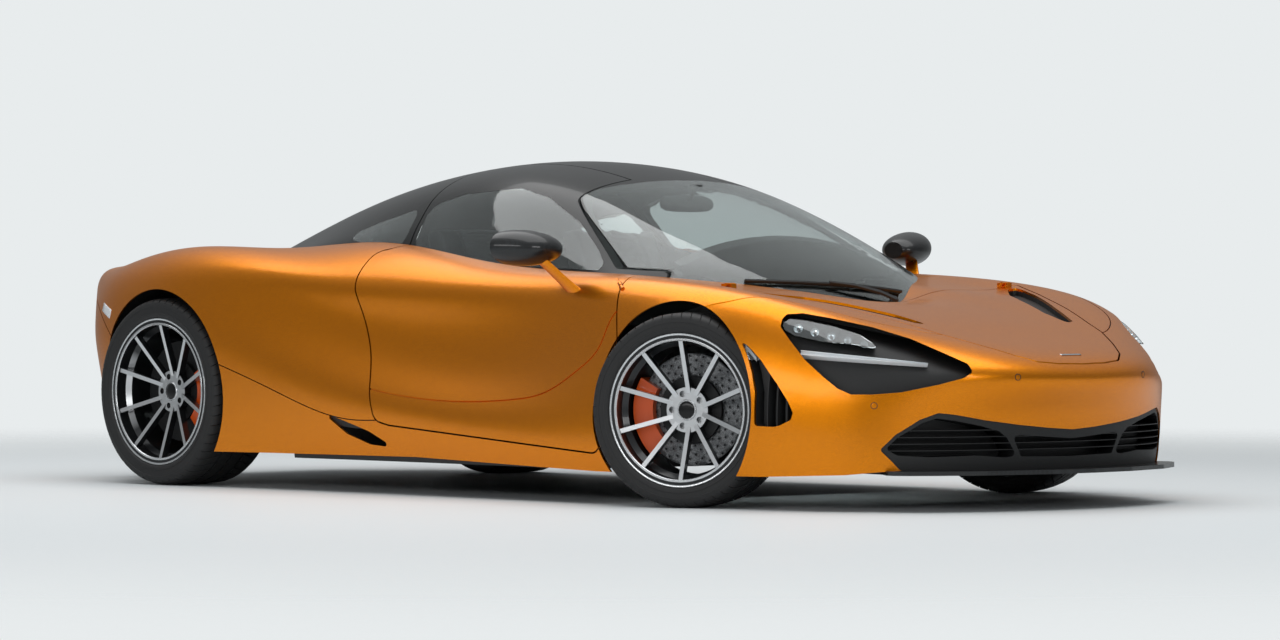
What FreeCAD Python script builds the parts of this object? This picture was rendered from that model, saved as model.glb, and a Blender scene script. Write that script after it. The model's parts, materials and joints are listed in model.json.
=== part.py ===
import FreeCAD, Part
import math
import os

Vector = FreeCAD.Vector

# A two-seat mid-engined sports car with upward-swinging doors, in millimetres.
# +X is forward, +Y is the car's left, +Z is up. The origin is on the ground, at the
# middle of the overall box.

# Whole car
LENGTH = 4543.0
WIDTH = 1930.0
HEIGHT = 1196.0
WHEELBASE = 2670.0
FRONT_OVERHANG = 1081.5
FRONT_TRACK = 1674.0
REAR_TRACK = 1621.0
HALF_LENGTH = LENGTH / 2
HALF_WIDTH = WIDTH / 2
FRONT_AXLE_X = HALF_LENGTH - FRONT_OVERHANG
REAR_AXLE_X = FRONT_AXLE_X - WHEELBASE
OVERRUN = 60.0
FIT = 0.3
STEER_DEG = 20.5

# Skins and gaps
SKIN = 9.0
CARRIER = 5.0
CARRIER_WIDTH = 60.0
GLASS = 5.0
CANOPY_SKIN = 8.0
CANOPY_FRAME = 20.0
DOOR_DEPTH = 85.0
DOOR_INSET = 70.0
PANEL_GAP = 4.0
DOOR_GAP = 6.0
OUTLINE_ROUND = 45.0

# Wheel arches
ARCH_RISE = 6.0
ARCH_SHIFT = 8.0
FRONT_ARCH_RADIUS = 360.0
REAR_ARCH_RADIUS = 372.0
ARCH_INNER_Y = 560.0
LINER_WALL = 4.0
LINER_RADIUS_FRONT = 392.0
LINER_RADIUS_REAR = 380.0

# Hand-chosen places of the body's outer surface, nose to tail, in thousandths of the
# half length, half width and height. Each row is one rail of the left half.
RAIL_SHARES = [
    # hem, hidden below the trimmed edge
    [(947, 0, -50), (924, 415, -50), (872, 642, -50), (801, 798, -50), (704, 881, -50),
     (524, 933, -50), (352, 933, -50), (0, 912, -50), (-264, 912, -50), (-484, 933, -50),
     (-652, 948, -50), (-792, 891, -50), (-880, 767, -50), (-929, 518, -50), (-947, 0, -50)],
    # rocker bottom
    [(951, 0, 75), (929, 399, 75), (884, 640, 75), (812, 810, 75), (704, 915, 75), (524, 959, 75),
     (352, 959, 75), (0, 938, 84), (-264, 938, 88), (-484, 964, 92), (-652, 979, 109),
     (-792, 933, 151), (-880, 808, 184), (-933, 518, 201), (-951, 0, 209)],
    # sill crease
    [(956, 0, 167), (934, 399, 167), (890, 645, 163), (818, 819, 159), (712, 925, 151),
     (524, 979, 142), (365, 984, 138), (132, 979, 167), (-110, 974, 211), (-250, 979, 242),
     (-508, 993, 368), (-652, 997, 401), (-814, 938, 393), (-911, 808, 385), (-960, 518, 385),
     (-977, 0, 385)],
    # lower flare
    [(958, 0, 251), (935, 399, 251), (892, 645, 251), (820, 819, 251), (722, 931, 251),
     (524, 984, 251), (396, 987, 251), (220, 984, 261), (0, 978, 278), (-176, 979, 318),
     (-440, 995, 426), (-652, 1007, 468), (-814, 948, 460), (-916, 813, 460), (-964, 518, 468),
     (-981, 0, 477)],
    # channel
    [(974, 0, 311), (955, 389, 314), (901, 636, 322), (820, 813, 334), (722, 920, 360),
     (524, 979, 393), (396, 962, 386), (220, 912, 355), (0, 889, 366), (-176, 908, 418),
     (-396, 964, 502), (-652, 1007, 535), (-814, 945, 527), (-915, 808, 531), (-962, 518, 539),
     (-980, 0, 548)],
    # upper channel
    [(996, 0, 368), (980, 352, 374), (909, 613, 385), (814, 792, 418), (721, 895, 460),
     (524, 959, 502), (396, 938, 510), (220, 891, 510), (0, 881, 518), (-176, 902, 543),
     (-396, 959, 602), (-652, 997, 615), (-814, 933, 602), (-907, 793, 598), (-955, 518, 606),
     (-973, 0, 615)],
    # shoulder
    [(971, 0, 415), (955, 358, 422), (888, 587, 440), (798, 759, 487), (710, 862, 535),
     (524, 920, 589), (396, 917, 602), (220, 899, 602), (0, 912, 610), (-198, 938, 623),
     (-396, 959, 669), (-652, 959, 694), (-806, 891, 669), (-898, 756, 652), (-947, 497, 661),
     (-966, 0, 669)],
    # crown
    [(923, 0, 448), (905, 347, 460), (858, 551, 487), (780, 705, 541), (691, 798, 595),
     (524, 834, 644), (396, 839, 656), (220, 829, 656), (0, 829, 673), (-198, 829, 711),
     (-352, 839, 709), (-497, 845, 740), (-638, 841, 757), (-770, 793, 721), (-858, 684, 679),
     (-916, 466, 669), (-942, 0, 677)],
    # valley
    [(858, 0, 483), (843, 311, 493), (806, 456, 518), (742, 570, 554), (660, 632, 584),
     (524, 663, 604), (396, 715, 640), (220, 725, 661), (0, 725, 694), (-198, 715, 748),
     (-352, 674, 748), (-497, 642, 723), (-638, 611, 696), (-748, 570, 679), (-828, 477, 669),
     (-872, 332, 667), (-889, 0, 669)],
    # bonnet and deck
    [(757, 0, 542), (744, 228, 547), (704, 342, 565), (652, 415, 585), (594, 456, 598),
     (506, 487, 615), (396, 497, 644), (220, 518, 669), (0, 518, 702), (-198, 518, 744),
     (-440, 487, 744), (-616, 435, 719), (-704, 342, 702), (-748, 207, 696), (-766, 0, 694)],
    # cowl, under the canopy
    [(533, 0, 609), (526, 114, 610), (502, 197, 615), (467, 249, 623), (423, 280, 631),
     (396, 290, 635), (308, 301, 652), (220, 301, 669), (0, 301, 702), (-198, 301, 736),
     (-440, 290, 744), (-528, 228, 736), (-568, 114, 732), (-577, 0, 732)],
    # well, hidden under the canopy
    [(467, 0, 468), (462, 83, 468), (445, 135, 468), (423, 166, 468), (396, 187, 468), (370, 197, 468),
     (308, 207, 468), (220, 207, 468), (0, 207, 468), (-198, 207, 468), (-396, 197, 468),
     (-475, 155, 468), (-506, 83, 468), (-515, 0, 468)],
]

# Fans of upright planes that place the surface's columns of poles
FAN_FRONT_SHARE = 0.308
FAN_REAR_SHARE = -0.44
PARALLEL_SHARES = (0.308, 0.211, 0.114, 0.018, -0.079, -0.176, -0.264, -0.352)
FAN_FRONT_DEG = (0, 8, 15, 22, 29, 36, 44, 53, 63, 76)
FAN_REAR_DEG = (90, 78, 66, 56, 47, 38, 29, 20, 10, 0)

# Poles of the canopy, row by row from the windscreen's foot to the tail, from the centre
# line out to the belt, in the same thousandths
CANOPY_SHARES = [
    # hidden front
    [(586, 0, 468), (572, 259, 468), (528, 497, 477), (453, 715, 493), (405, 808, 502),
     (387, 829, 485), (379, 829, 452)],
    # screen base
    [(535, 0, 598), (523, 249, 600), (482, 466, 607), (407, 684, 620), (374, 772, 619),
     (361, 808, 585), (352, 819, 502)],
    # screen
    [(445, 0, 711), (434, 233, 709), (394, 446, 707), (332, 653, 701), (308, 725, 669),
     (299, 772, 619), (295, 798, 518)],
    # screen
    [(348, 0, 798), (338, 223, 794), (304, 425, 790), (253, 611, 782), (233, 689, 711),
     (227, 746, 644), (222, 777, 535)],
    # screen
    [(242, 0, 880), (234, 212, 875), (209, 404, 865), (172, 570, 849), (158, 663, 753),
     (154, 731, 669), (152, 767, 543)],
    # header
    [(136, 0, 945), (131, 207, 938), (114, 389, 924), (90, 539, 901), (84, 642, 794), (79, 720, 694),
     (79, 762, 552)],
    # roof
    [(26, 0, 987), (24, 202, 980), (15, 373, 962), (0, 523, 928), (0, 632, 815), (0, 715, 711),
     (0, 762, 569)],
    # roof
    [(-88, 0, 1003), (-88, 197, 995), (-90, 363, 974), (-95, 518, 930), (-95, 622, 824),
     (-95, 705, 723), (-95, 756, 585)],
    # roof
    [(-211, 0, 985), (-211, 192, 977), (-211, 347, 956), (-211, 497, 907), (-209, 601, 815),
     (-207, 689, 736), (-207, 746, 602)],
    # rear screen
    [(-343, 0, 949), (-343, 181, 941), (-341, 326, 918), (-337, 461, 865), (-335, 565, 794),
     (-330, 648, 736), (-326, 715, 619)],
    # rear screen
    [(-475, 0, 896), (-475, 171, 886), (-471, 301, 861), (-464, 409, 811), (-458, 508, 761),
     (-453, 591, 719), (-449, 663, 619)],
    # tail
    [(-608, 0, 828), (-605, 145, 818), (-601, 254, 794), (-592, 342, 753), (-583, 425, 719),
     (-577, 497, 694), (-572, 560, 610)],
    # tail
    [(-731, 0, 757), (-729, 114, 748), (-724, 197, 729), (-713, 264, 702), (-704, 321, 681),
     (-696, 373, 661), (-691, 415, 585)],
    # hidden rear
    [(-836, 0, 690), (-834, 83, 684), (-830, 140, 673), (-819, 187, 656), (-810, 223, 640),
     (-801, 259, 619), (-792, 290, 552)],
]

# Outlines in side view (x, z) and plan (x, y), in thousandths of the half length and of
# the height or half width
# door shut line, from the fender top round the arch and sill to the roof
DOOR_SIDE_SHARES = [
    (394, 585), (407, 468), (407, 276), (379, 144), (-95, 206), (-128, 219), (-145, 334),
    (-197, 605), (-205, 721), (-185, 729), (-200, 870), (-200, 1054), (110, 1054), (132, 874),
    (200, 794), (262, 721), (304, 671), (384, 662)
]
# door window
DOOR_GLASS_SHARES = [
    (288, 662), (247, 721), (176, 803), (81, 878), (4, 908), (-117, 893), (-188, 858), (-173, 729),
    (-44, 696), (110, 674)
]
# quarter window
QUARTER_GLASS_SHARES = [
    (-217, 853), (-308, 813), (-398, 764), (-317, 742), (-200, 726)
]
# line below the quarter and door, tail arch to front arch
SILL_LINE_SHARES = [
    (-572, 418), (-508, 384), (-361, 299), (-250, 237), (-176, 219), (-145, 219), (-106, 221)
]
# below the body's lower edge
HEM_SHARES = [
    (-1101, -209), (-1101, 251), (-969, 234), (-858, 180), (-792, 134), (-572, 109), (-42, 115),
    (370, 94), (694, 94), (814, 102), (874, 115), (1101, 115), (1101, -209)
]
# diffuser
DIFFUSER_SHARES = [
    (-784, 94), (-997, 227), (-1000, 238), (-993, 242), (-784, 115)
]
# line between quarter panel and rear bumper
REAR_LINE_SHARES = [
    (-775, 435), (-819, 502), (-863, 556), (-924, 585), (-1013, 598)
]
# top edge of the blade along the door's foot
BLADE_LINE_SHARES = [
    (409, 564), (380, 501), (368, 452), (316, 375), (254, 315), (177, 290), (66, 281), (-2, 284),
    (-149, 315), (-185, 328)
]
# air intake in the side skirt
SIDE_INTAKE_SHARES = [
    (-251, 239), (-207, 219), (-145, 187), (-89, 140), (-145, 147), (-198, 177)
]
# bonnet
BONNET_SHARES = [
    (548, 769), (572, 741), (626, 682), (683, 608), (746, 538), (813, 461), (855, 420), (906, 342),
    (945, 273), (965, 212), (972, 121), (974, 0), (972, -121), (965, -212), (945, -273),
    (906, -342), (855, -420), (813, -461), (746, -538), (683, -608), (626, -682), (572, -741),
    (548, -769)
]
# line between front fender and bumper
FENDER_LINE_SHARES = [
    (568, 1047), (572, 921), (588, 904), (616, 879), (652, 819), (722, 734), (785, 645), (832, 525),
    (850, 459), (865, 363)
]
# windscreen
SCREEN_SHARES = [
    (541, 0), (528, 249), (484, 466), (409, 684), (372, 748), (324, 703), (260, 645), (187, 580),
    (125, 523), (141, 259), (147, 0), (141, -259), (125, -523), (187, -580), (260, -645),
    (324, -703), (372, -748), (409, -684), (484, -466), (528, -249)
]
# rear window over the engine
REAR_GLASS_SHARES = [
    (-247, 259), (-396, 212), (-519, 155), (-519, -155), (-396, -212), (-247, -259)
]
# splitter
SPLITTER_SHARES = [
    (660, 560), (722, 622), (836, 663), (874, 731), (900, 692), (929, 611), (965, 456), (993, 207),
    (1000, 0), (993, -207), (965, -456), (929, -611), (900, -692), (874, -731), (836, -663),
    (722, -622), (660, -560)
]
# rear wing
WING_SHARES = [
    (-863, 518), (-907, 497), (-938, 415), (-947, 207), (-947, -207), (-938, -415), (-907, -497),
    (-863, -518)
]
# line between quarter panel and rear deck
DECK_LINE_SHARES = [
    (-167, 663), (-352, 663), (-528, 632), (-704, 580), (-836, 539), (-1013, 518)
]

# Outlines through places on the skin (x, y, z), in the same thousandths
# lamp opening, seen from off the front corner
EYE_SHARES = [
    (710, 846, 531), (711, 827, 543), (729, 791, 546), (763, 740, 533), (812, 652, 508),
    (858, 576, 476), (903, 520, 436), (932, 478, 408), (942, 475, 385), (936, 507, 369),
    (915, 578, 351), (880, 679, 330), (850, 747, 324), (826, 792, 324), (809, 816, 340),
    (787, 837, 374), (760, 856, 418), (733, 864, 471), (712, 861, 509)
]
# clear pod in the lamp opening
POD_SHARES = [
    (712, 856, 518), (720, 832, 531), (742, 803, 526), (777, 756, 510), (810, 713, 489),
    (830, 698, 466), (839, 695, 452), (835, 709, 450), (812, 747, 461), (775, 808, 468),
    (738, 849, 483), (723, 859, 497)
]
# vent between bumper and front wheel, from the side
SIDE_VENT_SHARES = [
    (659, 881, 467), (670, 881, 457), (681, 881, 441), (696, 881, 416), (724, 881, 354),
    (743, 881, 304), (751, 881, 273), (748, 881, 253), (731, 881, 237), (722, 881, 233),
    (691, 881, 235), (691, 881, 328), (683, 881, 384), (674, 881, 423)
]
# clear side marker at the vent's top, from the side
MARKER_SHARES = [
    (659, 881, 467), (670, 881, 457), (681, 881, 441), (696, 881, 416), (676, 881, 416),
    (674, 881, 423)
]
# vent in the bonnet, in plan
BONNET_VENT_SHARES = [
    (581, 640, 602), (565, 684, 609), (565, 720, 611), (586, 707, 611), (634, 651, 591),
    (728, 510, 555), (801, 410, 518), (807, 369, 511), (788, 371, 518), (751, 388, 541),
    (671, 475, 575), (625, 536, 589)
]
# black region under the nose, from ahead
MOUTH_SHARES = [
    (969, 0, 221), (969, 120, 227), (969, 256, 237), (969, 396, 251), (924, 514, 268),
    (916, 568, 273), (907, 622, 255), (894, 688, 214), (880, 727, 172), (880, 693, 140),
    (880, 668, 115), (880, 622, 114), (924, 0, 114), (880, -622, 114), (880, -668, 115),
    (880, -693, 140), (880, -727, 172), (894, -688, 214), (907, -622, 255), (916, -568, 273),
    (924, -514, 268), (969, -396, 251), (969, -256, 237), (969, -120, 227)
]
# outer opening of the mouth, from ahead
SIDE_MOUTH_SHARES = [
    (880, 709, 174), (880, 676, 207), (902, 609, 246), (907, 566, 258), (924, 505, 251),
    (924, 409, 236), (947, 333, 220), (955, 299, 201), (955, 255, 151), (947, 301, 147),
    (924, 418, 154), (902, 580, 151), (880, 674, 156)
]
# middle opening of the mouth, from ahead
CENTRE_MOUTH_SHARES = [
    (969, 0, 196), (969, 124, 202), (969, 238, 209), (960, 274, 206), (960, 236, 149),
    (969, 0, 146), (960, -236, 149), (960, -274, 206), (969, -238, 209), (969, -124, 202)
]
# black mesh panel between the rear lamps, from behind
TAIL_PANEL_SHARES = [
    (-969, 0, 569), (-969, 394, 566), (-947, 663, 552), (-924, 762, 532), (-924, 746, 477),
    (-924, 663, 411), (-947, 497, 375), (-969, 0, 365), (-947, -497, 375), (-924, -663, 411),
    (-924, -746, 477), (-924, -762, 532), (-947, -663, 552), (-969, -394, 566)
]
# rear lamp strip, from behind
TAIL_LAMP_SHARES = [
    (-969, 373, 584), (-947, 663, 574), (-916, 810, 545), (-916, 804, 525), (-947, 663, 560),
    (-969, 373, 572)
]

MILLE = 0.001

# Front part of the skin, spans of the surface either side of the nose
FRONT_SPANS = 15
DOOR_FIRST_SPAN = 7
DOOR_LAST_SPAN = 21
CORE_LEVEL_SHARE = 0.3
LID_LEVEL_SHARE = 0.36
SLIVER_SHARE = 0.05
ROOF_SPINE = 225.0
LINER_INNER_Y = 640.0
LINER_BOTTOM_Z = 200.0
DOOR_ARCH_RADIUS = 430.0

# Where each panel lies, as one place on it
SKIRT_AT_SHARES = (0, 980, 150)
QUARTER_AT_SHARES = (-550, 960, 700)
DECK_AT_SHARES = (-860, 250, 670)
TAIL_AT_SHARES = (-970, 500, 400)
BUMPER_AT_SHARES = (800, 870, 300)
FENDER_AT_SHARES = (500, 920, 620)

# Tub
TUB_REAR_X = -760.0
TUB_FRONT_X = 835.0
TUB_HALF_WIDTH = 690.0
SKIRT_FRONT_X = 780.0
SILL_INNER_Y = 560.0
SILL_TOP_Z = 330.0
FLOOR_Z = 118.0
FLOOR_WALL = 22.0
TUNNEL_HALF_WIDTH = 110.0
TUNNEL_TOP_Z = 290.0
BULKHEAD = 35.0
FRONT_BULKHEAD_Y = 520.0

# End frames and engine
BEAM = 60.0
BEAM_Y = 320.0
BEAM_Z = 250.0
FRONT_BEAM_X = 1960.0
REAR_BEAM_X = -2080.0
CROSS_HALF_WIDTH = 480.0
ENGINE_FRONT_X = -800.0
ENGINE_REAR_X = -1300.0
ENGINE_Z = 180.0
ENGINE_TOP_Z = 640.0

# Front wheel: 9 inch wide rim, 19 inch bead seat. Rear wheel: 11 inch wide, 20 inch.
FRONT_TYRE_RADIUS = 327.0
FRONT_TYRE_WIDTH = 245.0
FRONT_RIM_WIDTH = 229.0
FRONT_SEAT_RADIUS = 241.0
FRONT_FLANGE_RADIUS = 258.0
REAR_TYRE_RADIUS = 345.5
REAR_TYRE_WIDTH = 295.0
REAR_RIM_WIDTH = 279.0
REAR_SEAT_RADIUS = 254.0
REAR_FLANGE_RADIUS = 271.0
FLANGE_WALL = 8.0
SEAT_WIDTH = 45.0
DROP = 16.0
RIM_WALL = 8.0
SHOULDER = 28.0
TYRE_WALL = 14.0
SPOKE_PAIRS = 5
SPOKE_ROOT_DEG = 13.0
SPOKE_ROOT_SHARE = 0.75
SPOKE_WIDTH = 15.0
SPOKE_DEPTH = 26.0
SPOKE_EDGE = 8.0
HUB_RADIUS = 76.0
HUB_THICK = 30.0
HUB_DISH = 64.0
LUG_RADIUS = 11.0
LUG_DEPTH = 16.0
LUG_CIRCLE = 56.0

# Brakes, hubs and uprights
FRONT_DISC_RADIUS = 190.0
REAR_DISC_RADIUS = 185.0
DISC_THICK = 34.0
DISC_Y = -14.0
HAT_RADIUS = 104.0
HAT_WALL = 9.0
HUB_TUBE = 55.0
HUB_DEPTH = 42.0
BORE = 28.5
PAD_GAP = 4.0
CALIPER_REACH = 55.0
CALIPER_RIM = 17.0
CALIPER_WALL = 28.0
CALIPER_DEG = 78.0
FRONT_CALIPER_DEG = 172.0
REAR_CALIPER_DEG = 8.0
KINGPIN_INSET = 62.0
UPRIGHT_WIDTH = 90.0
UPRIGHT_THICK = 32.0
UPRIGHT_DOWN = 118.0
UPRIGHT_UP = 98.0
BRACKET = 50.0
PIN_RADIUS = 9.0
PIN_LENGTH = 26.0
ARM_ROOT_HALF = 130.0
ARM_TIP_HALF = 22.0
ARM_THICK = 22.0
LOWER_ARM_DROP = 137.0
UPPER_ARM_RISE = 117.0

# Splitter and diffuser
SPLITTER_Z = 122.0
SPLITTER_WALL = 14.0
DIFFUSER_HALF_WIDTH = 560.0

# Cabin
SEAT_Y = 335.0
SEAT_HALF_WIDTH = 205.0
SEAT_X = -120.0
STEERING_X = 330.0
STEERING_Z = 735.0
STEERING_RADIUS = 175.0
STEERING_RIM = 15.0
STEERING_TILT_DEG = 22.0
COLUMN_RADIUS = 24.0
COLUMN_LENGTH = 260.0
DASH_HALF_WIDTH = 545.0

SEAT_BACK_DEPTH = 90.0
SEAT_LENGTH = 480.0
SEAT_FRONT_RISE = 210.0
SEAT_LEAN = 260.0
SEAT_TALL = 800.0
DASH_TOP_Z = 730.0
DASH_TALL = 300.0
DASH_DEPTH = 280.0
DASH_ROUND = 40.0

# Mirrors: ovals across the car as centre x, y, z and half axes along x and z
MIRROR_OVALS = ((545.0, 852.0, 866.0, 45.0, 30.0), (535.0, 890.0, 868.0, 82.0, 50.0),
                (512.0, 965.0, 871.0, 100.0, 62.0), (478.0, 1035.0, 874.0, 85.0, 52.0),
                (456.0, 1072.0, 875.0, 45.0, 28.0), (450.0, 1080.0, 875.0, 18.0, 11.0))
MIRROR_CUT_X = 470.0
STALK_FOOT = (651.0, 850.0, 722.0)
STALK_TOP = (560.0, 930.0, 835.0)
STALK_OVALS = ((40.0, 12.0), (32.0, 9.0), (30.0, 10.0))

# Pockets, grilles and lamps: depths are under the skin's outer face, spans and levels
# are places along and up the body's surface
VENT_ROUND = 12.0
CORNER_SHARE = 0.45
STRAIGHT = 0.01
CORNER_VIEW_DEG = 44.0
CORNER_NEAR_SHARE = 0.725
AHEAD = Vector(1, 0, 0)
ACROSS = Vector(0, 1, 0)
UPWARD = Vector(0, 0, 1)
CORNER_VIEW = Vector(math.cos(math.radians(CORNER_VIEW_DEG)), math.sin(math.radians(CORNER_VIEW_DEG)), 0)
CUP_WALL = 2.5
EYE_FIRST_SPAN = 1.5
EYE_LAST_SPAN = 6.8
EYE_LEVELS = (2.4, 7.5)
EYE_DEPTH = 45.0
POD_FACE = 22.0
LENS_SET = 3.0
LENS_WALL = 2.0
VENT_FIRST_SPAN = 4.6
VENT_LAST_SPAN = 8.2
VENT_LEVELS = (1.2, 5.8)
VENT_DEPTH = 45.0
FIN_FIRST = 420.0
FIN_STEP = 34.0
FIN_COUNT = 3
LID_VENT_FIRST_SPAN = 2.0
LID_VENT_LAST_SPAN = 8.6
LID_VENT_LEVELS = (5.6, 8.8)
LID_VENT_DEPTH = 26.0
MOUTH_SPANS = 5.6
MOUTH_LEVELS = (0.0, 3.2)
MOUTH_SET = 6.0
MOUTH_DEPTH = 78.0
VANE_SHARE = 0.168
VANE_STEP = 22.0
VANE_COUNT = 4
TAIL_SPANS = 5.2
TAIL_LEVELS = (0.8, 5.6)
TAIL_SET = 5.0
TAIL_DEPTH = 34.0
TAIL_BORDER = 14.0
LOUVRE_SHARE = 0.392
LOUVRE_STEP = 24.0
LOUVRE_COUNT = 9
PIPE_END_SHARE = 0.985
PIPE_Y = 215.0
PIPE_Z = 585.0
PIPE_RADIUS = 56.0
PIPE_WALL = 3.0
PIPE_LENGTH = 190.0
SILENCER_LONG = 190.0
SILENCER_HALF = 420.0
BLADE_GROOVE = 5.0
RIBBON_STEPS = 6
HALVINGS = 50
TRAY_BACK = 530.0
TRAY_HALF = 345.0
TRAY_TOP = 520.0
TYRE_FACETS = 40
BOLSTER_RISE = 45.0
BOLSTER_WIDTH = 65.0
BOLSTER_SHARE = 0.72
BAR_SHARE = 0.4

# Hinges
HINGE_PIN = 3.0
HINGE_RADIUS = 6.5
HINGE_ROOM = 2.0
KNUCKLE_HALF = 12.0
EAR_WIDE = 9.0
LEAF_LONG = 20.0
LEAF_DROP = 9.0
BONNET_HINGE_X = 1241.0
BONNET_HINGE_Y = 690.0
BONNET_HINGE_Z = 746.0
WING_HINGE_X = -1963.0
WING_HINGE_Y = 250.0
WING_HINGE_Z = 813.0
DOOR_KNUCKLE = 8.0
KNUCKLE_BACK = 26.0
DOOR_PIVOT = (880.0, 850.0, 740.0)
DOOR_AXIS = (0.795, 0.456, -0.398)


def place(x, y, z):
    """A point from thousandths of the half length, half width and height."""
    return Vector(HALF_LENGTH * x * MILLE, HALF_WIDTH * y * MILLE, HEIGHT * z * MILLE)


def rail_curve(points):
    """A smooth curve through a rail's points, square to the centre plane at both ends."""
    curve = Part.BSplineCurve()
    vectors = [place(*p) for p in points]
    curve.interpolate(Points=vectors, InitialTangent=Vector(0, 1, 0), FinalTangent=Vector(0, -1, 0))
    return curve


def past_station(point, station):
    """Signed distance of a point past a station's upright plane, growing from nose to tail."""
    kind, value = station
    if kind == "middle":
        return HALF_LENGTH * value - point.x
    share = FAN_FRONT_SHARE if kind == "front" else FAN_REAR_SHARE
    angle = math.radians(value)
    dx, dy = point.x - HALF_LENGTH * share, point.y
    if kind == "front":
        return dy * math.cos(angle) - dx * math.sin(angle)
    return -(dy * math.cos(angle) + dx * math.sin(angle))


def stations():
    front = [("front", a) for a in FAN_FRONT_DEG]
    middle = [("middle", s) for s in PARALLEL_SHARES]
    rear = [("rear", a) for a in FAN_REAR_DEG]
    return front + middle + rear


def cross(curve, station):
    """The point where a rail crosses a station plane."""
    lo, hi = curve.FirstParameter, curve.LastParameter
    if station == ("front", 0):
        return curve.value(lo)
    if station == ("rear", 0):
        return curve.value(hi)
    for _ in range(HALVINGS):
        middle = (lo + hi) / 2
        if past_station(curve.value(middle), station) > 0:
            hi = middle
        else:
            lo = middle
    return curve.value((lo + hi) / 2)


def surface(grid):
    """A cubic surface over a grid of poles, clamped at its edges."""
    ku, mu = even_knots(len(grid))
    kv, mv = even_knots(len(grid[0]))
    result = Part.BSplineSurface()
    result.buildFromPolesMultsKnots(grid, mu, mv, ku, kv, False, False, 3, 3)
    return result


def even_knots(count):
    spans = count - 3
    return list(range(spans + 1)), [4] + [1] * (spans - 1) + [4]


def body_grid():
    """Poles of the body surface, right tail round the nose to left tail, hem to top."""
    curves = [rail_curve(r) for r in RAIL_SHARES]
    left = [[cross(c, s) for c in curves] for s in stations()]
    left[-1] = [Vector(p.x, 0, p.z) for p in left[-2]]
    right = [[Vector(p.x, -p.y, p.z) for p in row] for row in left]
    return list(reversed(right))[:-1] + left


def canopy_grid():
    """Poles of the canopy surface, windscreen foot to tail, left belt over to right belt."""
    rows = []
    for shares in CANOPY_SHARES:
        half = [place(*p) for p in shares]
        right = [Vector(p.x, -p.y, p.z) for p in half[1:]]
        rows.append(list(reversed(half)) + right)
    return rows


def inward(grid, depth):
    """The same grid of poles moved inward by a depth."""
    rows, columns = len(grid), len(grid[0])
    result = []
    for i in range(rows):
        row = []
        for j in range(columns):
            before, after = grid[max(i - 1, 0)][j], grid[min(i + 1, rows - 1)][j]
            below, above = grid[i][max(j - 1, 0)], grid[i][min(j + 1, columns - 1)]
            normal = (after - before).cross(above - below)
            if abs(grid[i][j].y) < FIT:
                normal.y = 0
            normal.normalize()
            row.append(grid[i][j] - normal * depth)
        result.append(row)
    return result


def ruled_solid(outer, inner, u_range=None, v_range=None):
    """The solid between two surfaces over like grids, or over some of their spans."""
    sheets = [surface(outer), surface(inner)]
    for s in sheets:
        bounds = s.bounds()
        across = u_range or bounds[:2]
        upward = v_range or bounds[2:]
        s.segment(across[0], across[1], upward[0], upward[1])
    u0, u1, v0, v1 = sheets[0].bounds()
    sides = []
    for at, iso in ((u0, "uIso"), (u1, "uIso"), (v0, "vIso"), (v1, "vIso")):
        pair = [getattr(s, iso)(at).toShape() for s in sheets]
        sides.append(Part.makeRuledSurface(*pair))
    shell = Part.makeShell([s.toShape() for s in sheets] + sides)
    shell.sewShape()
    solid = Part.makeSolid(shell)
    if solid.Volume < 0:
        solid.reverse()
    return solid


def flat_core(grid, level):
    """The solid between a surface and its shadow on a level plane."""
    shadow = [[Vector(p.x, p.y, level) for p in row] for row in grid]
    return ruled_solid(grid, shadow)


def rounded_wire(points, radius):
    """A closed wire through points, with its corners rounded."""
    count = len(points)
    arcs = []
    for k in range(count):
        before, here, after = points[k - 1], points[k], points[(k + 1) % count]
        back, ahead = before - here, after - here
        reach = min(back.Length, ahead.Length) * CORNER_SHARE
        back.normalize()
        ahead.normalize()
        half_angle = back.getAngle(ahead) / 2
        if half_angle > math.pi / 2 - STRAIGHT:
            arcs.append([here])
            continue
        cut = min(radius / math.tan(half_angle), reach)
        arc_radius = cut * math.tan(half_angle)
        middle = back + ahead
        middle.normalize()
        top = here + middle * (arc_radius / math.sin(half_angle) - arc_radius)
        arcs.append([here + back * cut, top, here + ahead * cut])
    edges = []
    for k in range(count):
        if len(arcs[k]) == 3:
            edges.append(Part.Arc(*arcs[k]).toShape())
        start, end = arcs[k][-1], arcs[(k + 1) % count][0]
        if (end - start).Length > FIT:
            edges.append(Part.makeLine(start, end))
    return Part.Wire(edges)


def side_points(shares):
    return [Vector(HALF_LENGTH * x * MILLE, 0, HEIGHT * z * MILLE) for x, z in shares]


def plan_points(shares):
    return [Vector(HALF_LENGTH * x * MILLE, HALF_WIDTH * y * MILLE, 0) for x, y in shares]


def side_prism(shares, y_from, y_to, grow=0, radius=OUTLINE_ROUND):
    """A side outline carried across the car between two distances from the centre plane."""
    return wire_prism(rounded_wire(side_points(shares), radius), Vector(0, 1, 0), y_from, y_to, grow)


def plan_prism(shares, z_from, z_to, grow=0, radius=OUTLINE_ROUND):
    return wire_prism(rounded_wire(plan_points(shares), radius), Vector(0, 0, 1), z_from, z_to, grow)


def view_prism(shares, axis, start, end, grow=0, radius=VENT_ROUND):
    """An outline through places on the car, seen along an axis and carried along it."""
    points = [place(*p) for p in shares]
    flat = [p - axis * p.dot(axis) for p in points]
    return wire_prism(rounded_wire(flat, radius), axis, start, end, grow)


def wire_prism(wire, axis, start, end, grow):
    if grow:
        wire = wire.makeOffset2D(grow)
    face = Part.Face(wire)
    face.translate(axis * start)
    return face.extrude(axis * (end - start))


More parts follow.
